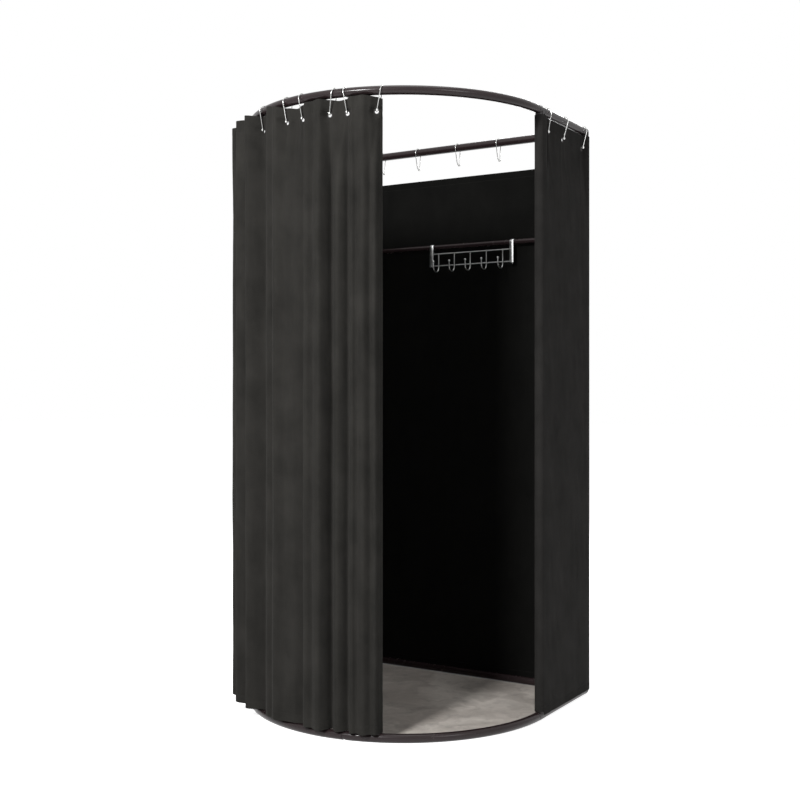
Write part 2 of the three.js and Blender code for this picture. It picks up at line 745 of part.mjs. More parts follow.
// Floor mat, tucked under the round of the tubes
function buildMat() {
  const height = tubeRadius - matThickness;
  const inset = Math.sqrt(tubeCorner * tubeCorner - height * height) + matGap;
  const reach = arcRadius - inset;
  const shape = new THREE.Shape();
  for (let k = 0; k <= matSteps; k += 1) {
    const angle = arcHalfAngle * (2 * k / matSteps - 1);
    const x = reach * Math.sin(angle);
    const y = arcCentreY - reach * Math.cos(angle);
    if (k === 0) shape.moveTo(x, y);
    else shape.lineTo(x, y);
  }
  shape.lineTo(reach, backY - inset);
  shape.lineTo(-reach, backY - inset);
  shape.closePath();
  add('floor_mat', new THREE.ExtrudeGeometry(shape, { depth: matThickness, bevelEnabled: false }), greyMat);
}

buildFittings();
buildHoops();
buildUprights();
buildRail();
buildRack();
buildSidePanels();
buildBackPanel();
buildBackHooks();
buildCurtain();
buildMat();

export default group;
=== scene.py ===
"""Looks of the portable fitting room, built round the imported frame. Lengths are metres."""

import json
import math

import bmesh
import bpy
import numpy as np
from mathutils import Matrix, Vector


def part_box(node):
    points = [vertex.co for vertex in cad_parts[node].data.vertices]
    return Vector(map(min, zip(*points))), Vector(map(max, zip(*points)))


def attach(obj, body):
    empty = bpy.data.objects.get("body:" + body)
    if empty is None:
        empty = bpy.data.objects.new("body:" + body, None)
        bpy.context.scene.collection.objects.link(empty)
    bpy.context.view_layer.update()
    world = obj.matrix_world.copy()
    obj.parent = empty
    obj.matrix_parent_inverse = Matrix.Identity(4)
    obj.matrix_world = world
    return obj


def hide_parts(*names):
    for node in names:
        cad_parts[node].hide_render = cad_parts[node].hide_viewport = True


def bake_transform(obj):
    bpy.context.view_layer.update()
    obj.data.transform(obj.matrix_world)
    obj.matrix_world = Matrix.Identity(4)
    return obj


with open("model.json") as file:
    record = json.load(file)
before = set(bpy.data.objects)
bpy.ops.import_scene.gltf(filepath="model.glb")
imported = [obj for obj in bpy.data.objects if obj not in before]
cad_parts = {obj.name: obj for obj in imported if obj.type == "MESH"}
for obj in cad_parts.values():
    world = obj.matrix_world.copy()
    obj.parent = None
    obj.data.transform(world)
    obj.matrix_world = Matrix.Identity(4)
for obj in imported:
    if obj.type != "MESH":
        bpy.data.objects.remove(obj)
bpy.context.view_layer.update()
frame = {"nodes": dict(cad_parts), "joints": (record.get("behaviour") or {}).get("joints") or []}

# Sizes and places read from the frame
MM = 0.001


def middle(node):
    low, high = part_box(node)
    return (Vector(low) + Vector(high)) / 2


def span(node):
    low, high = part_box(node)
    return Vector(high) - Vector(low)


HALF_WIDTH = middle("front_upright_right").x
UPRIGHT_Y = middle("front_upright_right").y
BACK_Y = middle("rear_upright_right").y
SIDE_LENGTH = BACK_Y - UPRIGHT_Y
LOW_HOOP = middle("lower_back_bar").z
HIGH_HOOP = middle("upper_back_bar").z
TUBE_RADIUS = span("lower_back_bar").z / 2
CURTAIN_JOINT = next(j for j in frame["joints"] if j["name"] == "curtain_draw")
ARC_CENTRE_Y = CURTAIN_JOINT["pos_m"][1]
ARC_RADIUS = math.hypot(HALF_WIDTH, UPRIGHT_Y - ARC_CENTRE_Y)
ARC_HALF_ANGLE = math.degrees(math.atan2(HALF_WIDTH, ARC_CENTRE_Y - UPRIGHT_Y))
RAIL_HEIGHT = middle("hanging_rail").z
RAIL_RADIUS = span("hanging_rail").z / 2
CURTAIN_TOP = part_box("curtain_fold_9")[1][2]
CURTAIN_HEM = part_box("curtain_fold_9")[0][2]
SIDE_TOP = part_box("side_panel_right")[1][2]
SIDE_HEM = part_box("side_panel_right")[0][2]
BACK_PANEL_LOW, BACK_PANEL_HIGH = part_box("back_panel")
SIDES = (("left", -1), ("right", 1))

# Fittings and seams of the tube frame
FITTING_REACH = 22 * MM
FITTING_EXTRA = 0.15 * MM
FITTING_VOXEL = 1.1 * MM
KNUCKLE_EXTRA = 0.1 * MM
KNUCKLE_PIN = 2 * MM
ARC_SEAM = 11.7  # degrees
NECK_LENGTH = 10 * MM
SEAM_GAP = 0.3 * MM
SEAM_RADIUS = TUBE_RADIUS - 1.6 * MM
SOCKET_GAP = 0.3 * MM
SOCKET_ROUND = 0.9 * MM
SOCKET_FLOOR = 4 * MM
SOCKET_HOLE = 0.4 * TUBE_RADIUS
SOCKET_RING = (7 * MM, 8 * MM, 11 * MM, 12 * MM)

# Hook rack. Its drops are counted from the rail's middle
RACK_STRAP_WIDTH = 16 * MM
RACK_STRAP = 1.5 * MM
RACK_GAP = 0.62 * MM
RACK_STRAP_DROP = 76 * MM
RACK_LIP = 8 * MM
RACK_WIRE = 2 * MM
RACK_WIRE_PAST = 4 * MM
RACK_WIRE_DROPS = (27 * MM, 72 * MM)
RACK_HOOKS = 5
RACK_HOOK_BEND = 20 * MM
RACK_HOOK_DROP = 78 * MM
RACK_TIP_DROPS = (60 * MM, 70 * MM)
RACK_STEM_DROPS = (50 * MM, 25 * MM)
RACK_HOOK_TIP = 4.5 * MM
RACK_WELD = 0.6 * MM

# Hooks of plated wire
HOOK_WIRE = 1.5 * MM
HOOK_BALL = 5 * MM
HOOK_SLACK = 3 * MM
HOOK_DROP = 63 * MM
HOOK_BALL_OUT = 9 * MM
HOOK_GAP = 0.75 * MM
HOOK_ROUND = TUBE_RADIUS + HOOK_GAP + HOOK_SLACK + HOOK_WIRE
HOOK_LEAN = 12.0  # degrees
EYELET_OUT = 2.5 * MM
EYELET_HOLE = 6 * MM
EYELET_RIM = 9.5 * MM
EYELET_GAP = 0.3 * MM
EYELET_LIFT = 0.15 * MM
EYELET_BULGE = 0.85 * MM
EYELET_DEPTH = 14 * MM
EYELET_PLAY = 0.4 * MM

# Hooks' places, as in the frame
CURTAIN_EYELETS = [-83, -63, -45.5, -28.8, -13.1, -5.4, 5.9, 12.3, 22.6]
CURTAIN_LEAN_SHARES = [0, 0.3, -0.4, 0, 0.3, 0.4, -0.92, 0.63, -1]
SIDE_HOOK_SHARES = [0.13, 0.495, 0.93]
SIDE_LEAN_SHARES = [0, 1, 0.85]
BACK_HOOKS = 6

# The curtain's crests and valleys: degrees from the front's middle, then the share of the
# fold's depth at the hooks and the share lower down, counted from the cloth's place at an eyelet
FOLD_DEPTH = 46 * MM
FOLD_SHARES = [
    (-86.5, 0.1, 0.1), (-83, 0, -0.15), (-73, 0.95, 1), (-63, 0, -0.15), (-52, 1.5, 1.45),
    (-45.5, 0, -0.1), (-42, 1.35, 1.38), (-36.5, 0.5, 0.4), (-33, 1.18, 1.1), (-28.8, 0, -0.15),
    (-26, 0.02, -0.1), (-19.7, 0.72, 0.74), (-18, 0.62, 0.58), (-15.9, 0.78, 0.78),
    (-13.1, 0, 0.34), (-9.5, -0.3, 0.2), (-5.4, 0, -0.12), (-2.4, 0.5, 0.56), (-0.4, 0.36, 0.36),
    (3.4, 0.68, 0.82), (5.9, 0, -0.3), (9.2, -0.1, 0.46), (12.3, 0, -0.2), (14.3, 0.6, 0.48),
    (15.7, 0.5, 0.28), (18.4, 0.68, 0.74), (20.6, 0.42, 0.32), (22.1, 0.1, 0.52), (24.3, -0.3, -0.3),
]

# The upper edge's sag between the hooks: degrees, then millimetres down, or up below zero
SAG = [
    (-86.5, 0), (-83, 0), (-73, 0), (-63, -1), (-52, -6), (-45.5, -4), (-42, -8), (-36, -6),
    (-33, -8), (-28.8, -2), (-24, -6), (-20, -14), (-16, -6), (-13.1, -1), (-9.5, 3), (-5.4, 0),
    (1, -2), (5.9, -2), (9.2, 2), (12.3, 0), (18, -2), (22.6, 0), (24.3, 2),
]
HEM_SAG_SHARE = 0.35
HEM_LIFT = 0.4 * MM
HEM_CALM = 20 * MM
FOLD_SETTLE = (60 * MM, 300 * MM)
FOLD_SMOOTH = 3.2 * MM
FINE_STEP = 0.04  # degrees
EYELET_MARGIN = 11 * MM
CLOTH = 1.5 * MM
CLOTH_SEAT = TUBE_RADIUS + 1.55 * MM
CURTAIN_HEM_THICK = 2.1 * MM
WALL_HEM_THICK = 1.9 * MM
LOW_HEM = 26 * MM
TOP_HEM = 38 * MM
BACK_HEM = 24 * MM
EDGE_STITCH = 3 * MM
SIDE_STITCH = 18 * MM
CLOTH_COLUMN = 1.8 * MM
SLOPE_TURN = 0.03  # degrees
SLOPE_RISE = 0.5 * MM

# Cloth at an eyelet: how far it lies flat, the creases that run down from it and the room that
# it leaves to the hook's ball and leg
FLAT_DROP = 5 * MM
FLAT_REACH = 9.5 * MM
FLAT_EDGE = 13 * MM
CREASE_HEIGHT = 1.6 * MM
CREASE_WIDTH = 5 * MM
CREASE_SPREAD = 0.16
CREASE_FADE = 0.16
CREASE_START = 20 * MM
BALL_ROOM = 3 * MM
LEG_RISE = 0.15
LEG_REACH = 2.5 * MM
LEG_SIDE_RISE = 2.2

# Side walls: the pocket round the front upright with its tail, the flap along the back, how the
# upper part is drawn in to the hooks, and the creases at the eyelets
POCKET_COLUMNS = 50
POCKET_TAIL_COLUMNS = 10
POCKET_TAIL = 34 * MM
POCKET_GAP = 0.3 * MM
POCKET_HEM = 2 * TUBE_RADIUS + 1.2 * MM
BACK_FLAP = 50 * MM
DRAWN_REACH = 0.26
DRAWN_FADE = 0.17
WALL_FLAT_REACH = 9 * MM
WALL_FLAT_EDGE = 12 * MM
WALL_CREASE_HEIGHT = 1.5 * MM
WALL_CREASE_WIDTH = 7 * MM
WALL_CREASE_SPREAD = 0.14
WALL_CREASE_FADE = 0.2

# Unevenness of the cloth, and its waves as (width, height) in metres
FOLD_DRIFT = 0.28  # degrees
TOP_DRIFT_SHARE = 0.3
DEPTH_CHANGE = 0.07
CRUMPLE = 0.9 * MM
WALL_CRUMPLE = 1.1 * MM
BACK_BULGE = 1.8 * MM
BACK_CRUMPLE = 1.6 * MM
DRIFT_WAVES = ((0.31, 1.7), (0.17, 0.9))
DEPTH_WAVES = ((0.2, 1.1), (0.09, 0.6))
CRUMPLE_WAVES = ((0.05, 0.5), (0.028, 0.21), (0.017, 0.12))
WALL_WAVES = ((0.21, 1.3), (0.09, 0.7), (0.05, 0.33))
BACK_WAVES = ((0.33, 1.9), (0.16, 1.1), (0.08, 0.6))

# Camera, as worked out from the photograph's corners and hoops
CAMERA_PLACE = (2.0866, -3.3491, 1.0732)
CAMERA_TURN = 0.55086
CAMERA_LENS = 51.586
CAMERA_SHIFT = -0.01236
CAMERA_SENSOR = 36

# Light. The floor's tone in the world's light and its glow add up to more than white, so that
# no horizon shows
WORLD_STRENGTH = 0.15
FLOOR_TONE = 0.86
FLOOR_GLOW = 0.875
FLOOR_SIZE = 30
LAMPS = [
    ("key", (0.1, -4.4, 3.5), (0, 0, 1.0), 0.7, 225),
    ("side", (4.1, -1.75, 3.0), (0, 0, 1.0), 1.4, 34),
    ("top", (0.3, -0.4, 4.6), (0, 0, 1.2), 2.0, 25),
    ("back", (-0.9, 4.3, 3.2), (0, 0, 1.0), 2.0, 110),
]


# Shader building
class Value:
    """A number on a socket. Python's operators add the Math nodes."""

    def __init__(self, shader, socket):
        self.shader, self.socket = shader, socket

    def __add__(self, other):
        return self.shader.math("ADD", self, other)

    __radd__ = __add__

    def __sub__(self, other):
        return self.shader.math("SUBTRACT", self, other)

    def __rsub__(self, other):
        return self.shader.math("SUBTRACT", other, self)

    def __mul__(self, other):
        return self.shader.math("MULTIPLY", self, other)

    __rmul__ = __mul__


class Shader:
    """One material and the nodes in it."""

    def __init__(self, name):
        self.material = bpy.data.materials.new(name)
        self.material.use_nodes = True
        self.tree = self.material.node_tree
        self.tree.nodes.clear()
        self.surface = self.tree.nodes.new("ShaderNodeBsdfPrincipled")
        output = self.tree.nodes.new("ShaderNodeOutputMaterial")
        self.tree.links.new(self.surface.outputs[0], output.inputs["Surface"])

    def set(self, socket, value):
        if isinstance(value, Value):
            value = value.socket
        if isinstance(value, bpy.types.NodeSocket):
            self.tree.links.new(value, socket)
        else:
            socket.default_value = value

    def node(self, kind, settings=None, inputs=None):
        node = self.tree.nodes.new("ShaderNode" + kind)
        for key, value in (settings or {}).items():
            setattr(node, key, value)
        for key, value in (inputs or {}).items():
            self.set(node.inputs[key], value)
        return node

    def math(self, operation, *values):
        inputs = dict(enumerate(values))
        return Value(self, self.node("Math", {"operation": operation}, inputs).outputs[0])

    def smooth(self, value, low, high):
        inputs = {"Value": value, "From Min": low, "From Max": high}
        return Value(self, self.node("MapRange", {"interpolation_type": "SMOOTHSTEP"}, inputs).outputs[0])

    def mix(self, factor, first, second):
        node = self.node("Mix", {"data_type": "RGBA"}, {"Factor": factor})
        for socket, value in ((node.inputs[6], first), (node.inputs[7], second)):
            self.set(socket, (*value, 1) if isinstance(value, tuple) else value)
        return node.outputs[2]

    def place(self, kind="Object"):
        return self.node("TexCoord").outputs[kind]

    def stretched(self, vector, scale):
        return self.node("Mapping", inputs={"Vector": vector, "Scale": scale}).outputs[0]

    def noise(self, vector, scale, detail=3.0, roughness=0.55):
        inputs = {"Vector": vector, "Scale": scale, "Detail": detail, "Roughness": roughness}
        return Value(self, self.node("TexNoise", inputs=inputs).outputs["Fac"])

    def finish(self, colour, roughness, height, distance, strength, **fixed):
        bump = self.node("Bump", inputs={"Height": height, "Distance": distance, "Strength": strength})
        varied = {"Base Color": colour, "Roughness": roughness, "Normal": bump.outputs[0]}
        named = {key.replace("_", " ").title().replace("Ior", "IOR"): value for key, value in fixed.items()}
        for key, value in {**varied, **named}.items():
            self.set(self.surface.inputs[key], value)
        return self.material


def linear(*levels):
    """The shader's colour for a colour written as on a screen, from 0 to 255."""
    return tuple(level / 255 / 12.92 if level <= 10 else ((level / 255 + 0.055) / 1.055) ** 2.4
                 for level in levels)


def paint_material(name, colour, gloss):
    s = Shader(name)
    place = s.place()
    cloud = s.noise(place, 9, 4)
    peel = s.noise(place, 700, 2)
    dust = s.smooth(s.noise(place, 42, 6, 0.7), 0.56, 0.78)
    scuff = s.smooth(s.noise(s.stretched(place, (1, 1, 6)), 30, 5, 0.7), 0.62, 0.72)
    worn = linear(*(level + 18 for level in colour))
    dark = linear(*(level * 0.86 for level in colour))
    light = linear(*(level * 1.1 for level in colour))
    base = s.mix(cloud, dark, light)
    base = s.mix(dust * 0.16, base, linear(76, 70, 68))
    base = s.mix(scuff * 0.25, base, worn)
    roughness = gloss + 0.1 * dust + 0.12 * scuff + 0.04 * cloud
    return s.finish(base, roughness, peel + 0.5 * scuff, 0.00008, 0.35, coat_roughness=0.12, coat_weight=0.1,
                    specular_ior_level=0.22)


def plated_material(name, colour, gloss):
    s = Shader(name)
    place = s.place()
    haze = s.noise(place, 130, 5, 0.65)
    draw = s.noise(s.stretched(place, (1, 1, 0.12)), 2600, 2)
    base = s.mix(s.smooth(haze, 0.35, 0.75), linear(*colour), linear(*(level * 0.8 for level in colour)))
    return s.finish(base, gloss + 0.16 * haze, draw, 0.00004, 0.4, metallic=1.0)


def cloth_material(name, colour, nap, hem_lines, side_lines=()):
    """Woven cloth on a UV map in metres: U along the cloth and V up it. Lines of stitches
    follow the given heights and the given places along the cloth."""
    s = Shader(name)
    uv = s.place("UV")
    split = s.node("SeparateXYZ", inputs={"Vector": uv})
    across, up = Value(s, split.outputs[0]), Value(s, split.outputs[1])
    thread = 1.1 * MM
    warp = s.math("SINE", across * (2 * math.pi / thread))
    weft = s.math("SINE", up * (2 * math.pi / thread))
    weave = warp * weft
    slub = s.noise(s.stretched(uv, (260, 26, 1)), 1, 4, 0.6)
    fluff = s.noise(uv, 330, 5, 0.7)
    patch = s.noise(uv, 7, 5, 0.6)
    rub = s.noise(s.stretched(uv, (24, 5, 1)), 1, 5, 0.62)
    tone = 0.2 + 0.5 * patch + 0.35 * fluff + 0.3 * rub - 0.35
    light = linear(*(level * 1.3 + 2 for level in colour))
    dark = linear(*(level * 0.72 for level in colour))
    base = s.mix(s.smooth(tone, 0.1, 0.75), dark, light)
    lint = s.smooth(s.noise(uv, 900, 2), 0.76, 0.8)
    base = s.mix(lint * 0.3, base, linear(84, 83, 80))
    height = weave * 0.22 + slub * 0.5 + fluff * 0.7 + rub * 0.6
    stitch = None
    pitch = 4.2 * MM
    for values, other, places in ((up, across, hem_lines), (across, up, side_lines)):
        for line in places:
            away = s.math("ABSOLUTE", values - line)
            near = 1 - s.smooth(away, 0.5 * MM, 0.9 * MM)
            groove = 1 - s.smooth(away, 0.8 * MM, 4.2 * MM)
            dash = s.smooth(s.math("PINGPONG", other + 1, pitch / 2), pitch * 0.1, pitch * 0.18)
            mark = near * dash
            height = height - 1.6 * groove + 2.0 * mark
            stitch = mark if stitch is None else s.math("MAXIMUM", stitch, mark)
    if stitch is not None:
        base = s.mix(stitch * 0.22, base, linear(60, 59, 57))
    roughness = 0.86 + 0.1 * fluff
    return s.finish(base, roughness, height, 0.0006, 0.5, sheen_weight=nap, sheen_roughness=0.42,
                    sheen_tint=(0.9, 0.88, 0.85, 1), specular_ior_level=0.06)


def mat_material():
    s = Shader("grey_mottled_sheet")
    place = s.place()
    warp = s.noise(place, 2.2, 4, 0.6)
    veins = s.noise(s.node("VectorMath", {"operation": "ADD"}, {0: place, 1: warp}).outputs[0], 3.4, 8, 0.62)
    cloud = s.noise(place, 11, 6, 0.65)
    grain = s.noise(place, 420, 3, 0.6)
    base = s.mix(s.smooth(veins, 0.34, 0.64), linear(166, 158, 151), linear(205, 198, 190))
    base = s.mix(s.smooth(cloud, 0.5, 0.72) * 0.55, base, linear(126, 121, 117))
    base = s.mix(s.smooth(grain, 0.56, 0.72) * 0.4, base, linear(204, 200, 193))
    return s.finish(base, 0.62 + 0.14 * cloud, grain + 0.4 * cloud, 0.0003, 0.35)


def eyelet_material():
    s = Shader("eyelet_dark_metal")
    haze = s.noise(s.place(), 160, 4, 0.6)
    base = s.mix(haze, linear(22, 21, 20), linear(44, 42, 40))
    return s.finish(base, 0.46 + 0.18 * haze, s.noise(s.place(), 1500, 2), 0.00005, 0.4, metallic=0.5)


TUBE_PAINT = paint_material("tube_gloss_brown_black", (41, 32, 33), 0.24)
FITTING_PAINT = paint_material("fitting_satin_black", (32, 27, 27), 0.36)
HOOK_PLATE = plated_material("hook_bright_plating", (214, 214, 212), 0.14)
RACK_PLATE = plated_material("rack_grey_plating", (196, 197, 196), 0.24)
EYELET_METAL = eyelet_material()
CURTAIN_CLOTH = cloth_material(
    "curtain_black_cloth", (42, 41, 39), 0.03,
    [CURTAIN_TOP - TOP_HEM, CURTAIN_TOP - EDGE_STITCH, CURTAIN_HEM + LOW_HEM], [0.0],
)
WALL_CLOTH = cloth_material(
    "wall_black_cloth", (38, 37, 36), 0.02,
    [SIDE_TOP - TOP_HEM, SIDE_TOP - EDGE_STITCH, SIDE_HEM + LOW_HEM],
)
# Painted shade: the back wall is the same black cloth as the side walls, but its colour is set far darker to
# stand for the shade inside the fitting room
BACK_CLOTH_PAINTED_SHADE = cloth_material(
    "back_wall_cloth_painted_shade", (15, 15, 14), 0.01,
    [BACK_PANEL_HIGH[2] - BACK_HEM, BACK_PANEL_LOW[2] + LOW_HEM],
)
MAT_SHEET = mat_material()


# Meshes
def new_object(name, mesh):
    piece = bpy.data.objects.new(name, mesh)
    bpy.context.scene.collection.objects.link(piece)
    return piece


def mesh_object(name, points, faces, material):
    mesh = bpy.data.meshes.new(name)
    mesh.from_pydata([tuple(p) for p in points], [], faces)
    mesh.materials.append(material)
    mesh.validate()
    piece = new_object(name, mesh)
    clean(piece)
    shade(piece)
    return piece


def as_modified(piece):
    """A new mesh of the piece as its modifiers leave it."""
    return bpy.data.meshes.new_from_object(piece.evaluated_get(bpy.context.evaluated_depsgraph_get()))


def clean(piece):
    """Joins points that coincide and turns the faces outward."""
    work = bmesh.new()
    work.from_mesh(piece.data)
    bmesh.ops.remove_doubles(work, verts=work.verts, dist=1e-6)
    bmesh.ops.recalc_face_normals(work, faces=work.faces)
    work.to_mesh(piece.data)
    work.free()


def shade(piece, angle=38):
    piece.data.shade_smooth()
    piece.data.set_sharp_from_angle(angle=math.radians(angle))


def ready(piece, body, slot, *nodes):
    """Sets a finished piece on its body, in the place of the CAD nodes that it stands for."""
    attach(piece, body)
    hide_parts(*nodes)


def turned_ring(name, profile, placement, material, sides=40):
    """A closed profile of (radius, height) points turned about its own Z axis."""
    points, faces = [], []
    count = len(profile)
    for k in range(sides):
        turn = 2 * math.pi * k / sides
        for radius, height in profile:
            points.append(placement @ Vector((radius * math.cos(turn), radius * math.sin(turn), height)))
    for k in range(sides):
        for i in range(count):
            a, b = k * count + i, k * count + (i + 1) % count
            c, d = ((k + 1) % sides) * count + (i + 1) % count, ((k + 1) % sides) * count + i
            faces.append((a, d, c, b))
    return mesh_object(name, points, faces, material)


# Round bars: one Geometry Nodes tree sweeps a round section along a curve
def bar_tree():
    tree = bpy.data.node_groups.new("round_bar", "GeometryNodeTree")
    for name, kind in (("Geometry", "Geometry"), ("Radius", "Float"), ("Sides", "Int"),
                       ("End Ball", "Float"), ("Finish", "Material")):
        tree.interface.new_socket(name, in_out="INPUT", socket_type="NodeSocket" + kind)
    tree.interface.new_socket("Geometry", in_out="OUTPUT", socket_type="NodeSocketGeometry")
    make = lambda kind: tree.nodes.new("GeometryNode" + kind)
    start, end = tree.nodes.new("NodeGroupInput"), tree.nodes.new("NodeGroupOutput")
    section, sweep = make("CurvePrimitiveCircle"), make("CurveToMesh")
    sweep.inputs["Fill Caps"].default_value = True
    tips, ball, on_tips = make("CurveEndpointSelection"), make("MeshUVSphere"), make("InstanceOnPoints")
    tips.inputs["Start Size"].default_value = 1
    tips.inputs["End Size"].default_value = 0
    ball.inputs["Segments"].default_value = 20
    ball.inputs["Rings"].default_value = 14
    both, smooth = make("JoinGeometry"), make("SetShadeSmooth")
    real, painted = make("RealizeInstances"), make("SetMaterial")
    for source, out, target, into in (
            (start, "Radius", section, "Radius"), (start, "Sides", section, "Resolution"),
            (start, "Geometry", sweep, "Curve"), (section, "Curve", sweep, "Profile Curve"),
            (start, "Geometry", on_tips, "Points"), (tips, "Selection", on_tips, "Selection"),
            (start, "End Ball", ball, "Radius"), (ball, "Mesh", on_tips, "Instance"),
            (on_tips, "Instances", both, 0), (sweep, "Mesh", both, 0), (both, 0, real, "Geometry"),
            (real, "Geometry", smooth, "Geometry"), (smooth, "Geometry", painted, "Geometry"),
            (start, "Finish", painted, "Material"), (painted, "Geometry", end, 0)):
        tree.links.new(source.outputs[out], target.inputs[into])
    return tree


BAR_TREE = bar_tree()


def socket_id(tree, name):
    return next(item.identifier for item in tree.interface.items_tree
                if item.name == name and item.in_out == "INPUT")


def bar(name, paths, radius, material, sides=32, ball=0.0):
    """One plain mesh of round bars, each along its own list of points. Each bar's first
    point gets a ball where a ball's radius is given."""
    curve = bpy.data.curves.new(f"{name}_path", "CURVE")
    curve.dimensions = "3D"
    for path in paths:
        spline = curve.splines.new("POLY")
        spline.points.add(len(path) - 1)
        for point, place in zip(spline.points, path):
            point.co = (*place, 1)
    guide = new_object(f"{name}_path", curve)
    modifier = guide.modifiers.new("Bar", "NODES")
    modifier.node_group = BAR_TREE
    for key, value in (("Radius", radius), ("Sides", sides), ("End Ball", ball), ("Finish", material)):
        modifier[socket_id(BAR_TREE, key)] = value
    mesh = as_modified(guide)
    mesh.name = name
    bpy.data.objects.remove(guide)
    piece = new_object(name, mesh)
    if not mesh.materials:
        mesh.materials.append(material)
    clean(piece)
    shade(piece, 50)
    return piece


def on_arc(angle, out, height):
    turn, reach = math.radians(angle), ARC_RADIUS + out
    return Vector((reach * math.sin(turn), ARC_CENTRE_Y - reach * math.cos(turn), height))


def arc_path(start, end, height, step=0.75):
    count = max(2, math.ceil(abs(end - start) / step))
    return [on_arc(start + (end - start) * k / count, 0, height) for k in range(count + 1)]


def line_path(start, end):
    start, end = Vector(start), Vector(end)
    return [start, (start + end) / 2, end]


def smooth_path(points, steps):
    """A Catmull-Rom curve through given points."""
    points = [Vector(p) for p in points]
    held = [2 * points[0] - points[1], *points, 2 * points[-1] - points[-2]]
    path = []
    for a, b, c, d in zip(held, held[1:], held[2:], held[3:]):
        for k in range(steps):
            t = k / steps
            path.append(0.5 * (2 * b + (c - a) * t + (2 * a - 5 * b + 4 * c - d) * t * t
                               + (3 * b - a - 3 * c + d) * t ** 3))
    return [*path, points[-1]]


def joined(name, pieces):
    """Joins finished meshes into one object."""
    work = bmesh.new()
    materials = list(dict.fromkeys(m for piece in pieces for m in piece.data.materials))
    for piece in pieces:
        start = len(work.faces)
        work.from_mesh(piece.data)
        work.faces.ensure_lookup_table()
        numbers = [materials.index(m) for m in piece.data.materials]
        for face in work.faces[start:]:
            face.material_index = numbers[face.material_index]
    mesh = bpy.data.meshes.new(name)
    work.to_mesh(mesh)
    work.free()
    for material in materials:
        mesh.materials.append(material)
    for piece in pieces:
        bpy.data.objects.remove(piece)
    whole = new_object(name, mesh)
    shade(whole, 50)
    return whole


# Tube frame
def tube(name, path, node):
    """One finished tube of the frame."""
    ready(bar(name, [path], TUBE_RADIUS, TUBE_PAINT), "frame", "frame_tube", node)


def hoop_tubes():
    margin = math.degrees((FITTING_REACH + SEAM_GAP) / ARC_RADIUS)
    seam_gap = math.degrees(SEAM_GAP / ARC_RADIUS)
    neck = math.degrees(NECK_LENGTH / ARC_RADIUS)
    end = ARC_HALF_ANGLE - margin
    for level, height in (("lower", LOW_HOOP), ("upper", HIGH_HOOP)):
        name = f"{level}_front_tube_left"
        neck_path = arc_path(ARC_SEAM - neck - seam_gap, ARC_SEAM + neck, height, 0.25)
        body = bar(f"{name}_body", [arc_path(-end, ARC_SEAM - neck, height)], TUBE_RADIUS, TUBE_PAINT)
        swage = bar(f"{name}_neck", [neck_path], SEAM_RADIUS, TUBE_PAINT)
        ready(joined(name, [body, swage]), "frame", "frame_tube", f"{level}_arc_left")
        tube(f"{level}_front_tube_right", arc_path(ARC_SEAM, end, height), f"{level}_arc_right")
        reach = HALF_WIDTH - FITTING_REACH
        tube(f"{level}_rear_tube", line_path((-reach, BACK_Y, height), (reach, BACK_Y, height)),
             f"{level}_back_bar")
        for side, sign in SIDES:
            path = line_path((sign * HALF_WIDTH, UPRIGHT_Y + FITTING_REACH, height),
                             (sign * HALF_WIDTH, BACK_Y - FITTING_REACH, height))
            tube(f"{level}_side_tube_{side}", path, f"{level}_side_rail_{side}")


def upright_tubes():
    for end, y in (("front", UPRIGHT_Y), ("rear", BACK_Y)):
        for side, sign in SIDES:
            path = line_path((sign * HALF_WIDTH, y, LOW_HOOP + FITTING_REACH),
                             (sign * HALF_WIDTH, y, HIGH_HOOP - FITTING_REACH))
            tube(f"{end}_post_{side}", path, f"{end}_upright_{side}")


def moulded(piece, voxel, rounds):
    """Fuses overlapping bars into one moulding with small fillets."""
    remesh = piece.modifiers.new("Fuse", "REMESH")
    remesh.mode = "VOXEL"
    remesh.voxel_size = voxel
    soften = piece.modifiers.new("Soften", "SMOOTH")
    soften.factor = 0.5
    soften.iterations = rounds
    mesh = as_modified(piece)
    piece.modifiers.clear()
    piece.data = mesh
    piece.data.shade_smooth()


def fitting(name, centre, paths, node):
    """A three-way moulding: its collars continue the tubes and a round knuckle joins them."""
    arms = [bar(f"{name}_arm_{k}", [path], TUBE_RADIUS + FITTING_EXTRA, FITTING_PAINT, 40)
            for k, path in enumerate(paths)]
    pin = [centre + Vector((0, 0, KNUCKLE_PIN / 2)), centre]
    knuckle = bar(f"{name}_knuckle", [pin], KNUCKLE_PIN, FITTING_PAINT, 12, TUBE_RADIUS + KNUCKLE_EXTRA)
    piece = joined(name, [*arms, knuckle])
    moulded(piece, FITTING_VOXEL, 3)
    piece.data.materials.clear()
    piece.data.materials.append(FITTING_PAINT)
    ready(piece, "frame", "fitting_black", node)


def fittings():
    collar = FITTING_REACH - SEAM_GAP
    reach = math.degrees(collar / ARC_RADIUS)

    def arm(*run):
        return line_path(centre, centre + Vector(run))

    for level, height, up in (("lower", LOW_HOOP, 1), ("upper", HIGH_HOOP, -1)):
        for side, sign in SIDES:
            centre = Vector((sign * HALF_WIDTH, UPRIGHT_Y, height))
            arc = arc_path(sign * ARC_HALF_ANGLE, sign * (ARC_HALF_ANGLE - reach), height)
            fitting(f"{level}_tee_moulding_{side}", centre, [arc, arm(0, collar, 0), arm(0, 0, up * collar)],
                    f"{level}_tee_{side}")
            centre = Vector((sign * HALF_WIDTH, BACK_Y, height))
            arms = [arm(0, -collar, 0), arm(-sign * collar, 0, 0), arm(0, 0, up * collar)]
            fitting(f"{level}_corner_moulding_{side}", centre, arms, f"{level}_corner_{side}")


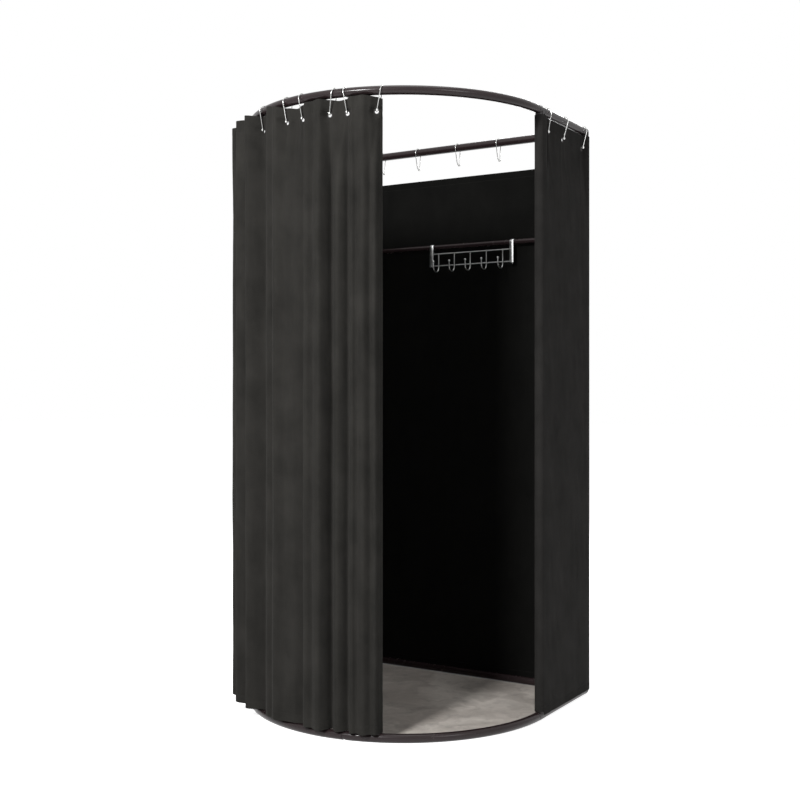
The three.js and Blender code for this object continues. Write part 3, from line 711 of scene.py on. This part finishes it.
# Hanging rail and hook rack
def hanging_rail():
    low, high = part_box("hanging_rail")
    path = line_path((low[0], BACK_Y, RAIL_HEIGHT), (high[0], BACK_Y, RAIL_HEIGHT))
    rail = bar("clothes_rail", [path], RAIL_RADIUS, TUBE_PAINT)
    ready(rail, "frame", "frame_tube", "hanging_rail")
    for side, sign in SIDES:
        low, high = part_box(f"rail_socket_{side}")
        mouth, back = (high[0], low[0]) if sign < 0 else (low[0], high[0])
        outer = (high[2] - low[2]) / 2
        length = abs(back - mouth)
        bore, floor = RAIL_RADIUS + SOCKET_GAP, length - SOCKET_FLOOR
        raised = (outer, outer + SOCKET_ROUND, outer + SOCKET_ROUND, outer)
        profile = [(bore, 0), (outer - SOCKET_ROUND, 0), (outer, SOCKET_ROUND), *zip(raised, SOCKET_RING),
                   (outer, length), (SOCKET_HOLE, length), (SOCKET_HOLE, floor), (bore, floor)]
        heading = Matrix.Rotation(sign * math.pi / 2, 4, "Y")
        placement = Matrix.Translation((mouth, BACK_Y, RAIL_HEIGHT)) @ heading
        socket = turned_ring(f"rail_saddle_{side}", profile, placement, FITTING_PAINT, 48)
        ready(socket, "frame", "fitting_black", f"rail_socket_{side}")


def half_ring(middle_out, middle_height, radius, count, side):
    """Points of half a circle, over the top for a side of 1 and under it for -1."""
    turns = [math.pi * t / count for t in range(count + 1)]
    return [(middle_out + radius * math.cos(a), middle_height + side * radius * math.sin(a)) for a in turns]


def hook_rack():
    low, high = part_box("hook_rack")
    left, right = low[0] + RACK_STRAP_WIDTH / 2, high[0] - RACK_STRAP_WIDTH / 2
    wire_out = RAIL_RADIUS + RACK_GAP + RACK_STRAP / 2
    pieces = []
    for k, x in enumerate((left, right)):
        section = [(wire_out, -RACK_STRAP_DROP), *half_ring(0, 0, wire_out, 16, 1), (-wire_out, -RACK_LIP)]
        pieces.append(strap_piece(f"rack_strap_{k}", x, section, RACK_STRAP_WIDTH, RACK_STRAP))
    for k, drop in enumerate(RACK_WIRE_DROPS):
        height = RAIL_HEIGHT - drop
        path = line_path((left - RACK_WIRE_PAST, BACK_Y - wire_out, height),
                         (right + RACK_WIRE_PAST, BACK_Y - wire_out, height))
        pieces.append(bar(f"rack_wire_{k}", [path], RACK_WIRE, RACK_PLATE, 20))
    stem, bend = wire_out + 2 * RACK_WIRE - RACK_WELD, RACK_HOOK_BEND
    outline = [*((stem + 2 * bend, -drop) for drop in RACK_TIP_DROPS),
               *half_ring(stem + bend, -RACK_HOOK_DROP, bend, 12, -1),
               *((stem, -drop) for drop in RACK_STEM_DROPS)]
    hooks = []
    for k in range(RACK_HOOKS):
        x = left + (k + 0.5) * (right - left) / RACK_HOOKS
        hooks.append([Vector((x, BACK_Y - out, RAIL_HEIGHT + height)) for out, height in outline])
    pieces.append(bar("rack_hooks", hooks, RACK_WIRE, RACK_PLATE, 20, RACK_HOOK_TIP))
    ready(joined("hook_rack_plated", pieces), "rack", "rack_wire", "hook_rack")


def strap_piece(name, x, section, width, thick):
    """A flat strap whose section runs in the plane of Y and Z, with rounded long edges."""
    points, faces = [], []
    edge = thick * 0.3
    wide, deep = width / 2, thick / 2
    quarter = [(-wide, deep - edge), (-wide + edge, deep), (wide - edge, deep), (wide, deep - edge)]
    ring = quarter + [(-across, -away) for across, away in quarter]
    last = len(section) - 1
    for i, (out, height) in enumerate(section):
        before, after = section[max(i - 1, 0)], section[min(i + 1, last)]
        run = Vector((after[0] - before[0], after[1] - before[1])).normalized()
        square = Vector((run.y, -run.x))
        for across, away in ring:
            points.append((x + across, BACK_Y - (out + square.x * away),
                           RAIL_HEIGHT + height + square.y * away))
    count = len(ring)
    for i in range(last):
        for j in range(count):
            a, b = i * count + j, i * count + (j + 1) % count
            faces.append((a, b, b + count, a + count))
    faces.append(tuple(range(count)))
    faces.append(tuple(last * count + j for j in reversed(range(count))))
    return mesh_object(name, points, faces, RACK_PLATE)


# Wire hooks
def hook_outline():
    """The hook's line in its own frame: X outward from the tube and Z up from its middle."""
    points = [(HOOK_BALL_OUT, -HOOK_DROP), (HOOK_BALL_OUT + 0.4 * MM, -0.93 * HOOK_DROP),
              ((HOOK_ROUND + HOOK_BALL_OUT) / 2, -HOOK_DROP / 2)]
    for k in range(-1, 12):
        turn = math.radians(18 * k)
        points.append((HOOK_ROUND * math.cos(turn), HOOK_ROUND * math.sin(turn) - HOOK_SLACK))
    points += [(-0.72 * HOOK_ROUND, -0.48 * HOOK_DROP), (-0.42 * HOOK_ROUND, -0.8 * HOOK_DROP),
               (-0.16 * HOOK_ROUND, -0.96 * HOOK_DROP), (EYELET_OUT - CLOTH / 2, -HOOK_DROP),
               (HOOK_BALL_OUT - HOOK_BALL - 0.4 * MM, -HOOK_DROP)]
    return smooth_path([(x, 0, z) for x, z in points], 5)


HOOK_LINE = hook_outline()


def hook_place(centre, heading, lean):
    turn = math.radians(lean)
    lift = TUBE_RADIUS * (1 / math.cos(turn) - 1)
    return (Matrix.Translation(centre + Vector((0, 0, lift))) @ Matrix.Rotation(heading, 4, "Z")
            @ Matrix.Rotation(turn, 4, "X"))


def hook(name, placement, body, node):
    piece = bar(name, [[placement @ p for p in HOOK_LINE]], HOOK_WIRE, HOOK_PLATE, 14, HOOK_BALL)
    ready(piece, body, "hook_wire", node)


def eyelet_seat(placement):
    """The hole's middle and direction: the hook's wire rests on the hole's upper edge."""
    drop = -HOOK_DROP + HOOK_WIRE + EYELET_GAP - EYELET_HOLE
    return placement @ Matrix.Translation((EYELET_OUT, 0, drop)) @ Matrix.Rotation(math.pi / 2, 4, "Y")


def eyelet(name, placement, body):
    """A rolled ring pressed into the cloth round the hook's hole."""
    inner, rim = EYELET_HOLE, EYELET_RIM
    profile = []
    for side in (1, -1):
        for k in range(9):
            turn = math.pi * k / 8
            reach = (inner + rim) / 2 + (rim - inner) / 2 * math.cos(turn) * side
            profile.append((reach, side * (CLOTH / 2 + EYELET_LIFT + EYELET_BULGE * math.sin(turn))))
    piece = turned_ring(name, profile, eyelet_seat(placement), EYELET_METAL)
    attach(piece, body)
    return piece


def curtain_hook_place(k):
    lean = CURTAIN_LEAN_SHARES[k] * HOOK_LEAN
    swing = HOOK_DROP * math.sin(math.radians(lean))
    station = CURTAIN_EYELETS[k] - math.degrees(math.atan2(swing, ARC_RADIUS + EYELET_OUT))
    return hook_place(on_arc(station, 0, HIGH_HOOP), math.radians(station) - math.pi / 2, lean)


def curtain_body(k):
    return "frame" if k == 0 else f"curtain_{k + 1}"


def side_hook_place(k, sign):
    centre = Vector((sign * HALF_WIDTH, UPRIGHT_Y + SIDE_HOOK_SHARES[k] * SIDE_LENGTH, HIGH_HOOP))
    return hook_place(centre, 0 if sign > 0 else math.pi, -sign * HOOK_LEAN * SIDE_LEAN_SHARES[k])


def all_hooks():
    for k in range(len(CURTAIN_EYELETS)):
        hook(f"curtain_wire_hook_{k + 1}", curtain_hook_place(k), curtain_body(k), f"curtain_hook_{k + 1}")
    for side, sign in SIDES:
        for k in range(len(SIDE_HOOK_SHARES)):
            hook(f"side_wire_hook_{side}_{k + 1}", side_hook_place(k, sign), "frame",
                 f"side_hook_{side}_{k + 1}")
    for k in range(1, BACK_HOOKS + 1):
        x = middle(f"back_hook_{k}").x
        placement = hook_place(Vector((x, BACK_Y, HIGH_HOOP)), math.pi / 2, 0)
        hook(f"spare_wire_hook_{k}", placement, f"spare_hook_{k}", f"back_hook_{k}")


# Cloth
def smoothstep(value):
    held = np.clip(value, 0, 1)
    return held * held * (3 - 2 * held)


def wander(along, up, seed, waves):
    """A smooth, fixed unevenness from about -1 to 1 over a surface, from a few crossed waves."""
    chance = np.random.default_rng(seed)
    total = 0
    for k, (wide, tall) in enumerate(waves):
        for _ in range(3):
            phase, tilt = chance.uniform(0, 6.28, 2)
            count = along / wide * (0.8 + 0.4 * chance.random()) + up / tall
            wave = np.sin(2 * np.pi * count + phase) * np.cos(2 * np.pi * up / tall * 0.7 + tilt)
            total = total + wave / (k + 1.5)
    return total / 3


def square_to(centre):
    """The direction square to a grid of points, at each point."""
    square = np.cross(np.gradient(centre, axis=0), np.gradient(centre, axis=1))
    return square / np.linalg.norm(square, axis=-1, keepdims=True)


def cloth_piece(name, centre, square, flat_u, flat_v, thick, material):
    """A closed sheet round a grid of centre points: its outer face lies along the normals."""
    columns, rows = centre.shape[:2]
    half = (thick / 2)[..., None]
    points = np.concatenate([(centre + square * half * side).reshape(-1, 3) for side in (1, -1)])
    outer = np.arange(columns * rows).reshape(columns, rows)
    inner = outer + columns * rows
    faces = []

    def quads(a, b, c, d):
        faces.append(np.stack([a.ravel(), b.ravel(), c.ravel(), d.ravel()], axis=1))

    quads(outer[:-1, :-1], outer[1:, :-1], outer[1:, 1:], outer[:-1, 1:])
    quads(inner[:-1, 1:], inner[1:, 1:], inner[1:, :-1], inner[:-1, :-1])
    quads(outer[1:, 0], outer[:-1, 0], inner[:-1, 0], inner[1:, 0])
    quads(outer[:-1, -1], outer[1:, -1], inner[1:, -1], inner[:-1, -1])
    quads(outer[0, :-1], outer[0, 1:], inner[0, 1:], inner[0, :-1])
    quads(outer[-1, 1:], outer[-1, :-1], inner[-1, :-1], inner[-1, 1:])
    faces = np.concatenate(faces)
    mesh = bpy.data.meshes.new(name)
    mesh.from_pydata(points.tolist(), [], faces.tolist())
    uv = mesh.uv_layers.new(name="cloth")
    flat = np.concatenate([np.stack([flat_u, flat_v], axis=-1).reshape(-1, 2)] * 2)
    corners = np.empty(len(mesh.loops), np.int32)
    mesh.loops.foreach_get("vertex_index", corners)
    uv.data.foreach_set("uv", flat[corners].astype(np.float32).ravel())
    mesh.materials.append(material)
    piece = new_object(name, mesh)
    shade(piece, 60)
    return piece


def eyelet_holes(piece, placements):
    """Cuts the hooks' holes."""
    radius = EYELET_HOLE + EYELET_PLAY
    for placement in placements:
        cutter_mesh = bpy.data.meshes.new("hole")
        work = bmesh.new()
        bmesh.ops.create_cone(work, cap_ends=True, segments=32, radius1=radius, radius2=radius,
                              depth=EYELET_DEPTH, matrix=eyelet_seat(placement))
        work.to_mesh(cutter_mesh)
        work.free()
        cutter = new_object("hole", cutter_mesh)
        cut = piece.modifiers.new("Hole", "BOOLEAN")
        cut.operation, cut.solver, cut.object = "DIFFERENCE", "EXACT", cutter
        mesh = as_modified(piece)
        piece.modifiers.clear()
        piece.data = mesh
        bpy.data.objects.remove(cutter)


def hem_thickness(up, low, high, hem, doubled):
    """Cloth is doubled in the hems at its lower and upper edges."""
    near = np.minimum(up - low, high - up)
    return CLOTH + (doubled - CLOTH) * (1 - smoothstep((near - hem + 2 * MM) / (2 * MM)))


FINE_ANGLE = np.arange(FOLD_SHARES[0][0], FOLD_SHARES[-1][0] + 1e-9, FINE_STEP)


def arc_length(degrees):
    return degrees * math.radians(1) * ARC_RADIUS


def between(angles):
    """For each fine angle, the row of the table before it and how far on it lies to the next."""
    place = np.clip(np.searchsorted(angles, FINE_ANGLE, side="right") - 1, 0, len(angles) - 2)
    return place, (FINE_ANGLE - angles[place]) / (angles[place + 1] - angles[place])


def fold_profile(column, crest):
    """How far the curtain stands out along the arc. A share of crest makes the crests round
    and the valleys narrow."""
    table = np.array(FOLD_SHARES, float)
    shares = table[:, column]
    place, along = between(table[:, 0])
    first, second = shares[place], shares[place + 1]
    low, high = np.minimum(first, second), np.maximum(first, second)
    from_valley = np.where(second > first, along, 1 - along)
    pleat = crest * np.sin(from_valley * np.pi / 2) + (1 - crest) * smoothstep(from_valley)
    profile = low + (high - low) * pleat
    steps = 60
    reach = arc_length(np.arange(-steps, steps + 1) * FINE_STEP)
    weights = np.exp(-0.5 * (reach / FOLD_SMOOTH) ** 2)
    held = np.pad(profile, steps, mode="edge")
    return np.convolve(held, weights / weights.sum(), mode="valid")


def sag_profile():
    angles, drops = np.array(SAG, float).T
    place, along = between(angles)
    return drops[place] + (drops[place + 1] - drops[place]) * smoothstep(along)


TOP_PROFILE, LOW_PROFILE = fold_profile(1, 0.1), fold_profile(2, 0.6)
SAG_PROFILE = sag_profile()


def curtain_surface(angle, up):
    """How far out the curtain's cloth stands, for grids of degrees and heights."""
    drop = CURTAIN_TOP - up
    settled = smoothstep((drop - FOLD_SETTLE[0]) / (FOLD_SETTLE[1] - FOLD_SETTLE[0]))
    run = np.radians(angle) * ARC_RADIUS
    drift = FOLD_DRIFT * settled * wander(run, up, 5, DRIFT_WAVES)
    top = np.interp(angle + TOP_DRIFT_SHARE * drift, FINE_ANGLE, TOP_PROFILE)
    low = np.interp(angle + drift, FINE_ANGLE, LOW_PROFILE)
    out = EYELET_OUT + FOLD_DEPTH * (top + (low - top) * settled)
    depth = 1 + DEPTH_CHANGE * wander(run, up, 8, DEPTH_WAVES)
    out = EYELET_OUT + (out - EYELET_OUT) * (1 + (depth - 1) * settled)
    out = out + settled * CRUMPLE * wander(run, up, 11, CRUMPLE_WAVES)
    return round_eyelets(angle, drop, out)


def round_eyelets(angle, drop, out):
    """Cloth lies flat at an eyelet, keeps clear of the hook's leg and creases below it."""
    flat = np.ones_like(out)
    hang = CURTAIN_TOP - (HIGH_HOOP - HOOK_DROP)
    under = drop - hang
    for eyelet_angle in CURTAIN_EYELETS:
        side = arc_length(angle - eyelet_angle)
        away = np.hypot(side, under - FLAT_DROP)
        flat = np.minimum(flat, smoothstep((away - FLAT_REACH) / FLAT_EDGE))
        crease = np.exp(-((np.abs(side) - under * CREASE_SPREAD) / CREASE_WIDTH) ** 2)
        crease = crease * np.exp(-drop / CREASE_FADE) * smoothstep(under / CREASE_START)
        out = out + CREASE_HEIGHT * crease
    out = EYELET_OUT + (out - EYELET_OUT) * flat
    above = np.clip(-under, 0, None)
    for eyelet_angle, lean_share in zip(CURTAIN_EYELETS, CURTAIN_LEAN_SHARES):
        leg = -math.sin(math.radians(lean_share * HOOK_LEAN)) * above
        beside = np.abs(arc_length(angle - eyelet_angle) - leg)
        room = HOOK_BALL_OUT - BALL_ROOM + LEG_RISE * above
        room = room + LEG_SIDE_RISE * np.clip(beside - LEG_REACH, 0, None)
        out = np.where(under < BALL_ROOM, np.minimum(out, room), out)
    return out


def curtain_points(angle, up):
    """Places on the curtain. Its upper edge sags between the hooks, and its hem follows in
    part but stays above the lower hoop."""
    reach = ARC_RADIUS + curtain_surface(angle, up)
    turn = np.radians(angle)
    share = (up - CURTAIN_HEM) / (CURTAIN_TOP - CURTAIN_HEM)
    follow = HEM_SAG_SHARE + (1 - HEM_SAG_SHARE) * share ** 2
    sag = np.interp(angle, FINE_ANGLE, SAG_PROFILE) * MM * follow
    sag = np.where(sag > 0, sag * smoothstep((up - CURTAIN_HEM) / HEM_CALM), sag)
    height = up - sag + HEM_LIFT * (1 - share)
    return np.stack([reach * np.sin(turn), ARC_CENTRE_Y - reach * np.cos(turn), height], axis=-1)


def curtain():
    margin = math.degrees(EYELET_MARGIN / ARC_RADIUS)
    first, last = FOLD_SHARES[0][0], FOLD_SHARES[-1][0]
    edges = [first, *(a - margin for a in CURTAIN_EYELETS[1:]), last]
    heights = np.concatenate([np.linspace(CURTAIN_HEM, CURTAIN_TOP - 0.34, 96),
                              np.linspace(CURTAIN_TOP - 0.33, CURTAIN_TOP, 66)])
    line = curtain_points(FINE_ANGLE, np.full_like(FINE_ANGLE, 0.5 * (CURTAIN_TOP + CURTAIN_HEM)))
    length = np.concatenate([[0], np.cumsum(np.linalg.norm(np.diff(line, axis=0), axis=1))])
    for k, eyelet_angle in enumerate(CURTAIN_EYELETS):
        start, end = edges[k], edges[k + 1]
        columns = max(8, round(arc_length(end - start) / CLOTH_COLUMN))
        angle, up = np.meshgrid(np.linspace(start, end, columns + 1), heights, indexing="ij")
        centre = curtain_points(angle, up)
        run = curtain_points(angle + SLOPE_TURN, up) - curtain_points(angle - SLOPE_TURN, up)
        rise = curtain_points(angle, up + SLOPE_RISE) - curtain_points(angle, up - SLOPE_RISE)
        square = np.cross(run, rise)
        square /= np.linalg.norm(square, axis=-1, keepdims=True)
        flat_u = np.interp(angle, FINE_ANGLE, length) - np.interp(last, FINE_ANGLE, length) + SIDE_STITCH
        thick = hem_thickness(up, CURTAIN_HEM, CURTAIN_TOP, LOW_HEM, CURTAIN_HEM_THICK)
        piece = cloth_piece(f"curtain_cloth_{k + 1}", centre, square, flat_u, up, thick, CURTAIN_CLOTH)
        placement = curtain_hook_place(k)
        eyelet_holes(piece, [placement])
        ring = eyelet(f"curtain_eyelet_{k + 1}", placement, curtain_body(k))
        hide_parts(f"curtain_fold_{k + 1}")
        if k + 1 < len(CURTAIN_EYELETS):
            guard = 1.2 * margin
            on_arc(eyelet_angle + guard, 0, 1)
            on_arc(CURTAIN_EYELETS[k + 1] - guard, 0, 1)
            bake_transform(piece)
        else:
            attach(piece, curtain_body(k))


def side_plan():
    """The side wall in plan, as (outward, along) points from the front upright's middle."""
    seat = CLOTH_SEAT
    tail_out = seat - CLOTH - POCKET_GAP
    begin = math.atan2(POCKET_TAIL, tail_out) + math.acos(seat / math.hypot(POCKET_TAIL, tail_out))
    plan = [(tail_out, POCKET_TAIL)]
    first = (seat * math.cos(begin), seat * math.sin(begin))
    plan += [(tail_out + (first[0] - tail_out) * t, POCKET_TAIL + (first[1] - POCKET_TAIL) * t)
             for t in np.linspace(0.1, 1, POCKET_TAIL_COLUMNS)]
    plan += [(seat * math.cos(a), seat * math.sin(a))
             for a in np.linspace(begin, 2 * math.pi, POCKET_COLUMNS - POCKET_TAIL_COLUMNS)[1:]]
    plan += [(seat, y) for y in np.linspace(0, SIDE_LENGTH, 100)[1:]]
    plan += [(seat * math.cos(a), SIDE_LENGTH + seat * math.sin(a))
             for a in np.linspace(0, math.pi / 2, 12)[1:]]
    plan += [(x, SIDE_LENGTH + seat) for x in np.linspace(0, -BACK_FLAP, 14)[1:]]
    return np.array(plan)


def side_wall(side, sign):
    plan = side_plan()
    seat = CLOTH_SEAT
    count = len(plan)
    wall = (np.abs(plan[:, 0] - seat) < 1e-9) & (plan[:, 1] > 0)
    wall[:POCKET_TAIL_COLUMNS + 2] = False
    hem = np.where(np.arange(count) < POCKET_COLUMNS, POCKET_HEM, SIDE_HEM)
    share = np.concatenate([np.linspace(0, 0.82, 90), np.linspace(0.823, 1, 60)])
    up = hem[:, None] + (SIDE_TOP - hem[:, None]) * share[None, :]
    along = np.repeat(plan[:, 1:2], len(share), axis=1)
    out = np.repeat(plan[:, 0:1], len(share), axis=1)
    drop = SIDE_TOP - up
    held = smoothstep((along - seat) / (2.4 * seat))
    held = held * smoothstep((SIDE_LENGTH - seat / 3 - along) / (1.4 * seat))
    high = smoothstep((DRAWN_REACH - drop) / DRAWN_FADE)
    draw = (seat - EYELET_OUT) * held * high
    ripple = WALL_CRUMPLE * wander(along, up, 21 + sign, WALL_WAVES)
    placements = [side_hook_place(k, sign) for k in range(len(SIDE_HOOK_SHARES))]
    for placement in placements:
        place = (placement @ Vector((EYELET_OUT, 0, -HOOK_DROP))).y - UPRIGHT_Y
        away = np.abs(along - place)
        crease = WALL_CREASE_HEIGHT * np.exp(-((away - drop * WALL_CREASE_SPREAD) / WALL_CREASE_WIDTH) ** 2)
        ripple = ripple + crease * np.exp(-drop / WALL_CREASE_FADE)
        near = np.hypot(along - place, drop - (SIDE_TOP - HIGH_HOOP + HOOK_DROP) - FLAT_DROP)
        ripple = ripple * smoothstep((near - WALL_FLAT_REACH) / WALL_FLAT_EDGE)
    ripple = np.where(wall[:, None], ripple * held, 0)
    out = out - np.where(wall[:, None], draw, 0) + ripple
    centre = np.stack([sign * (HALF_WIDTH + out), UPRIGHT_Y + along, up], axis=-1)
    square = square_to(centre) * sign
    step = np.linalg.norm(np.diff(plan, axis=0), axis=1)
    flat_u = np.repeat(np.concatenate([[0], np.cumsum(step)])[:, None], len(share), axis=1)
    thick = hem_thickness(up, SIDE_HEM, SIDE_TOP, LOW_HEM, WALL_HEM_THICK)
    if sign < 0:
        centre, square, flat_u, up, thick = (grid[::-1] for grid in (centre, square, flat_u, up, thick))
    piece = cloth_piece(f"side_wall_cloth_{side}", centre, square, flat_u, up, thick, WALL_CLOTH)
    eyelet_holes(piece, placements)
    rings = [eyelet(f"side_eyelet_{side}_{k + 1}", p, "frame") for k, p in enumerate(placements)]
    ready(piece, "frame", "wall_cloth", f"side_panel_{side}")


def back_wall():
    low, high = BACK_PANEL_LOW, BACK_PANEL_HIGH
    x, up = np.meshgrid(np.linspace(high[0], low[0], 220), np.linspace(low[2], high[2], 150), indexing="ij")
    y = np.full_like(x, (low[1] + high[1]) / 2)
    free = smoothstep((HALF_WIDTH - 60 * MM - np.abs(x)) / 0.1) * (0.4 + 0.6 * smoothstep((up - low[2]) / 0.1))
    y = y + free * (BACK_BULGE + BACK_CRUMPLE * wander(x, up, 40, BACK_WAVES))
    centre = np.stack([x, y, up], axis=-1)
    thick = hem_thickness(up, low[2], high[2], BACK_HEM, WALL_HEM_THICK)
    piece = cloth_piece("back_wall_cloth", centre, square_to(centre), high[0] - x, up, thick, BACK_CLOTH_PAINTED_SHADE)
    ready(piece, "frame", "wall_cloth", "back_panel")


# Stage
def seen_rays(nodes, links):
    """One for rays that show the stage, straight or in metal, and zero for those that light."""
    rays = nodes.new("ShaderNodeLightPath")
    total = rays.outputs["Is Camera Ray"]
    for kind in ("Is Glossy Ray", "Is Transmission Ray"):
        most = nodes.new("ShaderNodeMath")
        most.operation = "MAXIMUM"
        links.new(total, most.inputs[0])
        links.new(rays.outputs[kind], most.inputs[1])
        total = most.outputs[0]
    return total


def mixed_by_rays(nodes, links, lighting, showing, output_kind):
    """Ends a tree of nodes in what lights the scene, or in what shows."""
    mix, output = nodes.new("ShaderNodeMixShader"), nodes.new(output_kind)
    links.new(seen_rays(nodes, links), mix.inputs[0])
    links.new(lighting.outputs[0], mix.inputs[1])
    links.new(showing.outputs[0], mix.inputs[2])
    links.new(mix.outputs[0], output.inputs["Surface"])


def stage():
    mesh = bpy.data.meshes.new("studio_floor")
    corners = [(x * FLOOR_SIZE, y * FLOOR_SIZE, 0) for x, y in ((-1, -1), (1, -1), (1, 1), (-1, 1))]
    mesh.from_pydata(corners, [], [(0, 1, 2, 3)])
    floor = new_object("studio_floor", mesh)
    material = bpy.data.materials.new("studio_floor_white")
    material.use_nodes = True
    nodes, links = material.node_tree.nodes, material.node_tree.links
    nodes.clear()
    plain, seen = nodes.new("ShaderNodeBsdfDiffuse"), nodes.new("ShaderNodeBsdfDiffuse")
    glow, both = nodes.new("ShaderNodeEmission"), nodes.new("ShaderNodeAddShader")
    for diffuse in (plain, seen):
        diffuse.inputs["Color"].default_value = (FLOOR_TONE, FLOOR_TONE, FLOOR_TONE, 1)
    glow.inputs["Strength"].default_value = FLOOR_GLOW
    links.new(seen.outputs[0], both.inputs[0])
    links.new(glow.outputs[0], both.inputs[1])
    mixed_by_rays(nodes, links, plain, both, "ShaderNodeOutputMaterial")
    mesh.materials.append(material)


def world_light(strength):
    world = bpy.data.worlds.new("studio")
    bpy.context.scene.world = world
    world.use_nodes = True
    nodes, links = world.node_tree.nodes, world.node_tree.links
    nodes.clear()
    plain, white = nodes.new("ShaderNodeBackground"), nodes.new("ShaderNodeBackground")
    for background, level in ((plain, strength), (white, 1)):
        background.inputs["Strength"].default_value = level
        background.inputs["Color"].default_value = (1, 1, 1, 1)
    mixed_by_rays(nodes, links, plain, white, "ShaderNodeOutputWorld")


def lamp(name, place, target, size, power):
    light = bpy.data.lights.new(name, "AREA")
    light.size, light.energy = size, power
    lamp_object = new_object(name, light)
    lamp_object.location = place
    lamp_object.rotation_mode = "QUATERNION"
    lamp_object.rotation_quaternion = (Vector(target) - Vector(place)).to_track_quat("-Z", "Y")


def camera():
    data = bpy.data.cameras.new("camera")
    data.lens, data.sensor_width, data.shift_y = CAMERA_LENS, CAMERA_SENSOR, CAMERA_SHIFT
    seer = new_object("camera", data)
    seer.location = CAMERA_PLACE
    seer.rotation_euler = (math.pi / 2, 0, CAMERA_TURN)
    bpy.context.scene.camera = seer


bpy.context.scene.view_settings.view_transform = "Standard"
camera()
stage()
world_light(WORLD_STRENGTH)
for row in LAMPS:
    lamp(*row)

hoop_tubes()
upright_tubes()
fittings()
hanging_rail()
hook_rack()
all_hooks()
curtain()
side_wall("left", -1)
side_wall("right", 1)
back_wall()
mat = frame["nodes"]["floor_mat"]
mat.data.materials.clear()
mat.data.materials.append(MAT_SHEET)
